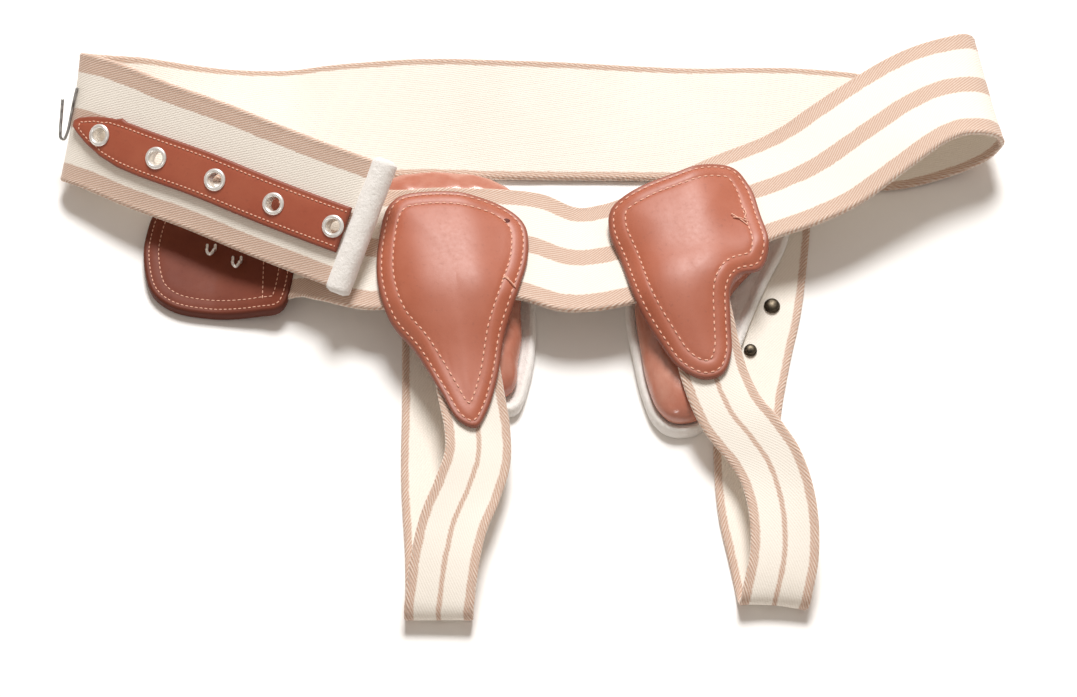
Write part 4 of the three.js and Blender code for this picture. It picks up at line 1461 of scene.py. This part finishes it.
@dataclass
class EyeletStrip:
    """The leather strip on the flap with its five eyelets."""

    waist: Ribbon
    stitcher: Stitcher

    def row_at(self, along: float) -> tuple[float, float]:
        """Give the strip's half width and sideways shift in millimetres at a share."""
        for (a0, h0, s0), (a1, h1, s1) in zip(STRIP_ROWS, STRIP_ROWS[1:]):
            if along <= a1 + 1e-9:
                f = (along - a0) / (a1 - a0)
                return (h0 + (h1 - h0) * f) * STRIP_W, (s0 + (s1 - s0) * f) * STRIP_W
        return STRIP_ROWS[-1][1] * STRIP_W, STRIP_ROWS[-1][2] * STRIP_W

    def eyelet_frames(self) -> list[Frame]:
        """Give the middle and directions of each eyelet on the webbing."""
        frames = []
        for i in range(5):
            frame = self.waist.frame_at(FIRST_EYELET + i * EYELET_PITCH)
            frame.centre = frame.centre + frame.across * STRIP_SHIFT
            frames.append(frame)
        return frames

    def edge_point(self, along: float, side: float, offset: float) -> Vector:
        """Give a point of the strip by share along, side from -1 to 1 and height."""
        half, shift = self.row_at(along)
        run = STRIP_START + along * STRIP_LENGTH
        return self.waist.point(run, STRIP_SHIFT + shift + side * half, offset)

    def build(self, finishes: Finishes) -> None:
        """Build the strip, its stitches and its eyelets."""
        bm = bmesh.new()
        along_layer = bm.verts.layers.float.new("along")
        side_layer = bm.verts.layers.float.new("side")
        rim_layer = bm.verts.layers.float.new("rim")
        bmesh.ops.create_grid(bm, x_segments=110, y_segments=22, size=1.0)
        for v in bm.verts:
            v[along_layer] = (v.co.x + 1) / 2
            v[side_layer] = math.sin(v.co.y * 1.45) / math.sin(1.45)
        low, _ = second_side(bm)
        for v in bm.verts:
            along, side = v[along_layer], v[side_layer]
            half, _ = self.row_at(along)
            gap = min((1 - abs(side)) * half, along * STRIP_LENGTH, (1 - along) * STRIP_LENGTH)
            round_off = math.sqrt(max(1 - (1 - min(gap, 1.0)) ** 2, 0.0)) * 0.75 + 0.25
            press = 0.25 * hump(gap, STRIP_SEAM_INSET, 0.7)
            dome = 0.5 * (1 - side ** 2)
            top = STRIP_T / 2 * round_off + (dome - press) * min(gap, 1)
            offset = STRIP_LIFT + (-STRIP_T / 2 * round_off if v in low else top)
            v[rim_layer] = min(gap / 2.2, 1.0)
            v.co = self.edge_point(along, side, offset)
            if side > 0:
                nick = 1.3 * hump(along, STRIP_NICK, 0.012) * side ** 6
                v.co = v.co + self.waist.frame_at(STRIP_START + along * STRIP_LENGTH).across * nick
        join_sides(bm)
        tree = BVHTree.FromBMesh(bm)

        def land(p: Vector) -> tuple[Vector, Vector] | None:
            """Give the strip's face at the point nearest to one just above it."""
            hit, normal, _, _ = tree.find_nearest(p)
            return (hit, normal)

        ends = (0.4 / STRIP_LENGTH, 1 - 5.0 / STRIP_LENGTH)
        lines: list[Vector] = []
        steps = 90
        for way in (-1, 1):
            row = []
            for i in range(steps + 1):
                along = ends[0] + (ends[1] - ends[0]) * i / steps
                half, _ = self.row_at(along)
                side = way * max(half - STRIP_SEAM_INSET, 0.4) / half
                row.append(self.edge_point(along, side, STRIP_LIFT + STRIP_T))
            lines += row if way < 0 else row[::-1]
        self.stitcher.line(lines, False, STRIP_SEAM, land, 4.0)
        strip = finish_piece("eyelet_strip", bm, (finishes.get(Finish.STRIP_LEATHER),),
                             ("eyelet_strip",))
        frames = self.eyelet_frames()
        punch(strip, frames, EYELET_HOLE_R + EYELET_WALL + CLEAR)
        for i, frame in enumerate(frames):
            self.eyelet(i + 1, frame, finishes)

    def eyelet(self, number: int, frame: Frame, finishes: Finishes) -> None:
        """Spin one eyelet: rolled flange on the strip, barrel through, small flange behind.

        Args:
            number: The eyelet's number.
            frame: Its middle and directions.
            finishes: The belt's finishes.
        """
        top = STRIP_LIFT + STRIP_T / 2 + CLEAR + 0.25
        under = -BAND_T / 2 - CLEAR
        barrel = EYELET_HOLE_R + EYELET_WALL
        hole = EYELET_HOLE_R + 0.2
        profile = [
            (hole, under - 0.6), (EYELET_HOLE_R + 0.8, under - 0.85),
            (barrel + 1, under - 0.6), (barrel + 1.1, under - 0.2), (barrel + 0.3, under),
            (barrel, under + 0.4), (barrel, top - 0.3), (barrel + 0.25, top),
            (EYELET_RING_R - 0.4, top - 0.15), (EYELET_RING_R, top + 0.05),
            (EYELET_RING_R - 0.1, top + 0.4), (EYELET_RING_R - 0.7, top + 0.85),
            (EYELET_RING_R - 1.2, top + 0.98), (hole + 0.3, top + 0.75), (hole, top + 0.3)]
        bm = turned(profile, True, 48, frame.centre, (frame.across, frame.tangent, frame.outward))
        finish_piece(f"eyelet_{number}", bm, (finishes.get(Finish.NICKEL),),
                     (f"eyelet_{number}",))


@dataclass
class EndRoll:
    """The felt roll bound round the webbing's end beside the eyelet strip."""

    waist: Ribbon

    def build(self, finishes: Finishes) -> None:
        """Build the roll as a soft bolster with rounded ends."""
        start = self.waist.frame_at(ROLL_RUN)
        length = BAND_W + 4
        bm = bmesh.new()
        turns, steps = 48, 60
        first = list(bmesh.ops.create_circle(bm, segments=turns, radius=1.0)["verts"])
        loop, edges = first, bm.edges[:]
        for i in range(steps + 1):
            share = i / steps
            if i:
                loop, edges = grow_loop(bm, loop, edges)
            place = (share - 0.5) * length
            tip_gap = min(share, 1 - share) * length
            taper = math.sqrt(max(1 - (1 - min(tip_gap / 2.4, 1.0)) ** 2, 0.0)) * 0.45 + 0.55
            for k, v in enumerate(loop):
                angle = 2 * math.pi * k / turns
                soft = 1 + 0.035 * wobble(place, k * 1.3, 9.0, 9.0)
                radius = ROLL_R * taper * soft
                flat = math.cos(angle)
                out = math.sin(angle) * (0.94 if math.sin(angle) > 0 else 1.0)
                v.co = (start.centre + start.across * place
                        + start.tangent * radius * flat + start.outward * radius * out)
        for ring in (first, loop):
            bmesh.ops.poke(bm, faces=[bm.faces.new(ring)])
        bmesh.ops.recalc_face_normals(bm, faces=bm.faces[:])
        finish_piece("end_roll", bm, (finishes.get(Finish.FELT),), ("end_roll",))


@dataclass
class HookPatch:
    """The rounded leather patch on the hook end, with two hooks of bent wire."""

    waist: Ribbon
    stitcher: Stitcher

    def top(self, x: float, y: float) -> float:
        """Give the height of the patch's face."""
        webbing = self.waist.top_at(x, y, FRONT_LAST_ROW, len(WAIST_ROWS) - 1, 0.05)
        return max(PATCH_THICK, webbing + CLEAR + LEATHER_T)

    def build(self, finishes: Finishes) -> None:
        """Build the patch, its stitches and its hooks."""
        rows = [(PATCH_END - a * PATCH_LENGTH / SPAN,
                 PATCH_MID + (c - 0.5) * PATCH_WIDTH / SPAN) for a, c in PATCH_ROWS]
        outline = Outline(rows, (PATCH_END - 0.5 * PATCH_LENGTH / SPAN, PATCH_MID), 110)

        def level(share: float) -> Callable[[float, float], float]:
            """Give a height function between underside and face."""
            def height(x: float, y: float) -> float:
                """Give the height at a plan point."""
                top = self.top(x, y) + 0.2 * wobble(x, y, 21.0, 17.0)
                gap = outline.gap_to_rim(Vector((x, y, 0)))
                press = 0.25 * hump(gap, PATCH_SEAMS[0], 0.8) + 0.2 * hump(gap, PATCH_SEAMS[1], 0.8)
                low = max(0.0, self.top(x, y) - PATCH_THICK)
                return low + (top - press - low) * share
            return height

        rings = [(0.4, 0.0, level(0)), (0.8, 0.0, level(0)), (1, 2.0, level(0)),
                 (1, 0.6, level(0.03)), (1, 0.1, level(0.2)), (1, 0.0, level(0.5)),
                 (1, 0.2, level(0.8)), (1, 0.8, level(0.95))]
        rings += [(1, inset, level(1)) for inset in (
            1.7, 2.4, 3.0, 3.6, 5, 6.9, 7.4, 7.8, 8.2, 9, 12, 15)]
        rings += [(share, 15.0, level(1)) for share in (0.8, 0.6, 0.4, 0.2)]
        bm = ring_shell(outline.points, outline.centre, rings, outline.gap_to_rim)
        tree = BVHTree.FromBMesh(bm)
        land = drop_on(tree)
        self.stitcher.line(outline.inset(PATCH_SEAMS[0]), True, PATCH_RIM_SEAM, land, 31.0)
        self.stitcher.line(outline.inset(PATCH_SEAMS[1]), True, PATCH_INNER_SEAM, land, 32.0)
        cross = [Vector((x, y, 0)) for x, y in PATCH_CROSS_SEAM]
        self.stitcher.line(cross, False, PATCH_INNER_SEAM, land, 33.0)
        finish_piece("hook_patch", bm, (finishes.get(Finish.PATCH_LEATHER),),
                     ("hook_patch",))
        for i, (x, y) in enumerate(PATCH_HOOK_PLACES):
            self.hook(i + 1, x, y, finishes)

    def hook(self, number: int, x: float, y: float, finishes: Finishes) -> None:
        """Bend one hook of wire standing on the patch.

        Args:
            number: The hook's number.
            x: Plan x as a share of SPAN.
            y: Plan y as a share of SPAN.
            finishes: The belt's finishes.
        """
        px, py = x * SPAN, y * SPAN
        base = max(self.top(px, py), self.top(px, py + 4)) + CLEAR + WIRE_R + 0.2
        bends = ((3.5, -2, 0), (0.5, -2, 0), (-0.6, -2, 1.6), (-1.2, -1.8, 3), (-3.4, -1.2, 4),
                 (-4.6, 0, 4), (-3.4, 1.2, 4), (-1.2, 1.8, 3), (-0.6, 2, 1.6), (0.5, 2, 0),
                 (3.5, 2, 0))
        points = [Vector((px + b, py + a, base + c)) for a, b, c in bends]
        bm = wire_mesh(points, WIRE_R, 60)
        finish_piece(f"patch_hook_{number}", bm, (finishes.get(Finish.NICKEL),),
                     (f"patch_hook_{number}",))


def wire_mesh(points: Sequence[Vector], radius: float, steps: int) -> bmesh.types.BMesh:
    """Carry a round section along a bent line, with rounded ends.

    Args:
        points: Bends of the wire in millimetres.
        radius: Wire radius.
        steps: Sections along the wire.

    Returns:
        The wire's mesh.
    """
    fine = even_steps([smooth_spline(points, i / 300) for i in range(301)], steps + 1, False)
    bm = bmesh.new()
    segments = 12
    first = list(bmesh.ops.create_circle(bm, segments=segments, radius=1.0)["verts"])
    loop, edges = first, bm.edges[:]
    side = Vector((0, 0, 1))
    for i, p in enumerate(fine):
        tangent = (fine[min(i + 1, steps)] - fine[max(i - 1, 0)]).normalized()
        side = (side - tangent * side.dot(tangent)).normalized()
        other = tangent.cross(side)
        if i:
            loop, edges = grow_loop(bm, loop, edges)
        size = radius * (0.72 if i in (0, steps) else 1.0)
        for k, v in enumerate(loop):
            angle = 2 * math.pi * k / segments
            v.co = p + side * math.cos(angle) * size + other * math.sin(angle) * size
    for ring in (first, loop):
        bm.faces.new(ring)
    bmesh.ops.recalc_face_normals(bm, faces=bm.faces[:])
    return bm


@dataclass
class SideHook:
    """The wire hook on the webbing's outer face at the left fold."""

    waist: Ribbon

    def build(self, finishes: Finishes) -> None:
        """Bend the hook along the fold and dress it."""
        base = BAND_T / 2 + WIRE_R + 0.15
        places = ((15, 0), (8, 0.2), (0, 0.2), (-8, 0.4), (-11.6, 1.4), (-11.4, 3), (-8, 4),
                  (0, 5), (8, 6))
        points = [self.waist.point(SIDE_HOOK_RUN, a, base + lift) for a, lift in places]
        bm = wire_mesh(points, WIRE_R, 70)
        finish_piece("side_hook", bm, (finishes.get(Finish.STEEL),), ("side_hook",))


@dataclass
class StrapStuds:
    """The two dark two-part studs on the right thigh strap's inner face."""

    strap: Ribbon

    def build(self, finishes: Finishes) -> None:
        """Spin both studs and seat them on the strap."""
        for i, place in enumerate(STUD_PLACES):
            self.stud(i + 1, *place, finishes)

    def stud(self, number: int, run: float, side: float, scale: float,
             finishes: Finishes) -> None:
        """Spin one stud.

        Args:
            number: The stud's number.
            run: Share of the strap's length.
            side: Place across the strap in millimetres.
            scale: Size beside the larger stud.
            finishes: The belt's finishes.
        """
        r = STUD_R * scale
        profile = [(0, 0), (0.95 * r, 0), (r, 0.15), (r, 0.4), (0.93 * r, 0.55), (0.62 * r, 0.75),
                   (0.58 * r, 1.2), (0.8 * r, 1.4), (0.88 * r, 1.7), (0.78 * r, 2.2),
                   (0.5 * r, 2.6), (0.2 * r, 2.78), (0, 2.8)]
        frame = self.strap.frame_at(run * self.strap.length)
        up = -frame.outward
        origin = frame.centre + frame.across * side + up * (STRAP_T / 2 + CLEAR)
        bm = turned(profile, False, 36, origin, (frame.tangent, up.cross(frame.tangent), up))
        finish_piece(f"strap_stud_{number}", bm, (finishes.get(Finish.BRONZE),),
                     (f"strap_stud_{number}",))


@dataclass
class Studio:
    """Camera, table and soft light of the photograph."""

    def build(self) -> None:
        """Place the camera, the pale table and the lights."""
        self.camera()
        self.table()
        self.lights()

    def camera(self) -> None:
        """Look down at the belt from the front at the photograph's angle."""
        data = bpy.data.cameras.new("camera")
        data.sensor_width = 36.0
        data.lens = 36.0 * FOCAL_PIXELS / IMAGE_WIDTH
        data.clip_end = 20.0
        camera = bpy.data.objects.new("camera", data)
        angle = math.radians(CAMERA_ELEVATION)
        away = Vector((0, -math.cos(angle), math.sin(angle))) * CAMERA_DISTANCE
        camera.location = (ORIGIN_SHIFT + away) * MM
        camera.rotation_euler = (math.pi / 2 - angle, 0, 0)
        bpy.context.scene.collection.objects.link(camera)
        bpy.context.scene.camera = camera

    def table(self) -> None:
        """Lay a large pale table under the belt."""
        bm = bmesh.new()
        bmesh.ops.create_grid(bm, x_segments=4, y_segments=4, size=4.0)
        table = link_mesh("table", bm)
        recipe = Recipe("matt_white_paper")
        recipe.shade({"Base Color": to_linear("#FBFAF8"), "Roughness": 1.0,
                      "Specular IOR Level": 0.0})
        table.data.materials.append(recipe.material)

    def lights(self) -> None:
        """Light the belt softly from behind and above, so shadows fall toward the viewer.

        The room's warm bounce fills the shadows, and a window in front shows only as a
        highlight on glossy leather and metal.
        """
        self.area("softbox", place=(0.2, 2.05, 2.9), size=1.3, power=142.0)
        window = self.area("window", place=(-0.5, -1.7, 1.9), size=0.34, power=6.5)
        window.visible_diffuse = False
        world = bpy.data.worlds.new("room")
        world.use_nodes = True
        background = world.node_tree.nodes["Background"]
        background.inputs[0].default_value = (1.0, 0.88, 0.78, 1.0)
        background.inputs[1].default_value = 0.41
        bpy.context.scene.world = world
        bpy.context.scene.view_settings.view_transform = "Standard"

    def area(self, name: str, place: tuple[float, float, float], size: float,
             power: float) -> bpy.types.Object:
        """Hang one round soft light facing the belt.

        Args:
            name: The light's name.
            place: Where it hangs, in metres.
            size: Its width in metres.
            power: Its power in watts.

        Returns:
            The light.
        """
        data = bpy.data.lights.new(name, "AREA")
        data.shape = "DISK"
        data.size = size
        data.energy = power
        lamp = bpy.data.objects.new(name, data)
        lamp.location = place
        lamp.rotation_euler = (-Vector(place)).to_track_quat("-Z", "Y").to_euler()
        bpy.context.scene.collection.objects.link(lamp)
        return lamp


def seated(rows: Sequence[Row], waist: Ribbon) -> list[Row]:
    """Give strap rows with the seated ones lifted onto the waist webbing.

    Args:
        rows: The strap's rows.
        waist: The waist webbing.

    Returns:
        The rows with heights and tilts filled in.
    """
    result = []
    for r in rows:
        if not r.seat:
            result.append(r)
            continue
        x, y = r.x * SPAN, r.y * SPAN
        half = width_direction(r.swing, 0) * (STRAP_W / 2)

        def top(px: float, py: float) -> float:
            """Give the webbing's height under a plan point."""
            return waist.top_at(px, py, FRONT_FIRST_ROW, FRONT_LAST_ROW, 0.1)

        low, high = top(x - half.x, y - half.y), top(x + half.x, y + half.y)
        level = max(top(x, y), (low + high) / 2) + 2 * CLEAR + STRAP_T / 2
        tilt = math.degrees(math.atan2(high - low, STRAP_W))
        result.append(Row(r.x, r.y, level / PAD_H, r.swing, tilt, 1))
    return result


@dataclass
class Wear:
    """Signs of use on the shields: a torn seam corner, darkened with painted shade of its hole, and
    loose thread ends.
    """

    surfaces: dict[str, BVHTree]

    def build(self, finishes: Finishes) -> None:
        """Build the tear and the loose threads."""
        self.tear(*TEAR_PLACE, finishes)
        for number, (name, places) in enumerate(LOOSE_THREADS):
            land = drop_on(self.surfaces[name])
            points = []
            for x, y, lift in places:
                spot = land(Vector((x, y, 0)))
                if spot:
                    points.append(spot[0] + spot[1] * lift)
            if len(points) == len(places):
                finish_piece(f"loose_thread_{number + 1}", wire_mesh(points, LOOSE_THREAD_R, 24), (
                    finishes.get(Finish.THREAD),))

    def tear(self, x: float, y: float, finishes: Finishes) -> None:
        """Lay the frayed tear where the seam has torn, a flat blob whose dark colour is painted
        shade of the hole.

        Args:
            x: Plan x in millimetres.
            y: Plan y in millimetres.
            finishes: The belt's finishes.
        """
        spot = drop_on(self.surfaces["left_shield"])(Vector((x, y, 0)))
        if spot is None:
            return
        bm = bmesh.new()
        bmesh.ops.create_icosphere(bm, subdivisions=3, radius=1.0)
        for v in bm.verts:
            ragged = 1 + 0.35 * wobble(v.co.x * 3, v.co.y * 3, 77.0, 1.6)
            v.co = spot[0] + Vector((v.co.x * 1.8 * ragged, v.co.y * 1.15 * ragged, v.co.z * 0.35))
        # The dark blob is torn leather darkened with painted shade of the hole.
        finish_piece("seam_tear_painted_shade", bm, (finishes.get(Finish.TORN_HOLE_SHADE),))


class HerniaBelt:
    """The whole belt."""

    def __init__(self) -> None:
        """Work out the three webbing paths."""
        self.waist = Ribbon(WAIST_ROWS, BAND_W, BAND_T)
        self.left = Ribbon(seated(LEFT_STRAP_ROWS, self.waist), STRAP_W, STRAP_T)
        self.right = Ribbon(seated(RIGHT_STRAP_ROWS, self.waist), STRAP_W, STRAP_T)
        self.finishes = Finishes()
        self.stitcher = Stitcher()
        self.surfaces: dict[str, BVHTree] = {}

    def build(self) -> None:
        """Build every piece in order."""
        waist = Webbing("waist_band", self.waist, Finish.WAIST_FACE, Finish.WAIST_BACK)
        left = Webbing("left_thigh_strap", self.left, Finish.STRAP_FACE, Finish.STRAP_BACK,
                       cell=1.8, ripple=0.22, seed=2.0, across_cells=20)
        right = Webbing("right_thigh_strap", self.right, Finish.STRAP_FACE, Finish.STRAP_BACK,
                        cell=1.8, ripple=0.22, seed=3.0, across_cells=20)
        meshes = [w.mesh() for w in (waist, left, right)]
        ceiling = self.merged_tree(meshes)
        for bm in meshes:
            bm.free()
        band = waist.build(self.finishes)
        strip = EyeletStrip(self.waist, self.stitcher)
        punch(band, strip.eyelet_frames(), EYELET_HOLE_R + EYELET_WALL + CLEAR)
        left.build(self.finishes)
        right.build(self.finishes)
        strip.build(self.finishes)
        EndRoll(self.waist).build(self.finishes)
        HookPatch(self.waist, self.stitcher).build(self.finishes)
        SideHook(self.waist).build(self.finishes)
        StrapStuds(self.right).build(self.finishes)
        shields = (
            ("left_shield", LEFT_SHIELD_ROWS, (-0.085, 0.05), self.left, 11.0),
            ("right_shield", RIGHT_SHIELD_ROWS, (0.15, 0.07), self.right, 14.0))
        for name, rows, middle, strap, seed in shields:
            shield = Shield(name, Outline(rows, middle, 150), self.waist, strap,
                            self.stitcher, seed)
            shield.build(self.finishes)
            self.surfaces[name] = shield.tree
        Pelote("left", LEFT_PELOTE_ROWS, (-0.085, 0.085), 41.0, ceiling, self.left,
               LEFT_LYING_ROWS).build(self.finishes)
        Pelote("right", RIGHT_PELOTE_ROWS, (0.165, 0.055), 43.0, ceiling, self.right,
               RIGHT_LYING_ROWS).build(self.finishes)
        self.stitcher.build("leather_stitches", self.finishes, "webbing")
        Wear(self.surfaces).build(self.finishes)

    @staticmethod
    def merged_tree(meshes: Sequence[bmesh.types.BMesh]) -> BVHTree:
        """Give one search tree over several meshes."""
        vertices: list[Vector] = []
        polygons: list[list[int]] = []
        for bm in meshes:
            start = len(vertices)
            bm.verts.index_update()
            vertices += [v.co.copy() for v in bm.verts]
            polygons += [[start + v.index for v in f.verts] for f in bm.faces]
        return BVHTree.FromPolygons(vertices, polygons)


def main() -> None:
    """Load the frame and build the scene."""
    logging.basicConfig(level=logging.INFO, format="%(name)s: %(message)s")
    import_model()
    Studio().build()
    HerniaBelt().build()


if __name__ == "__main__":
    main()
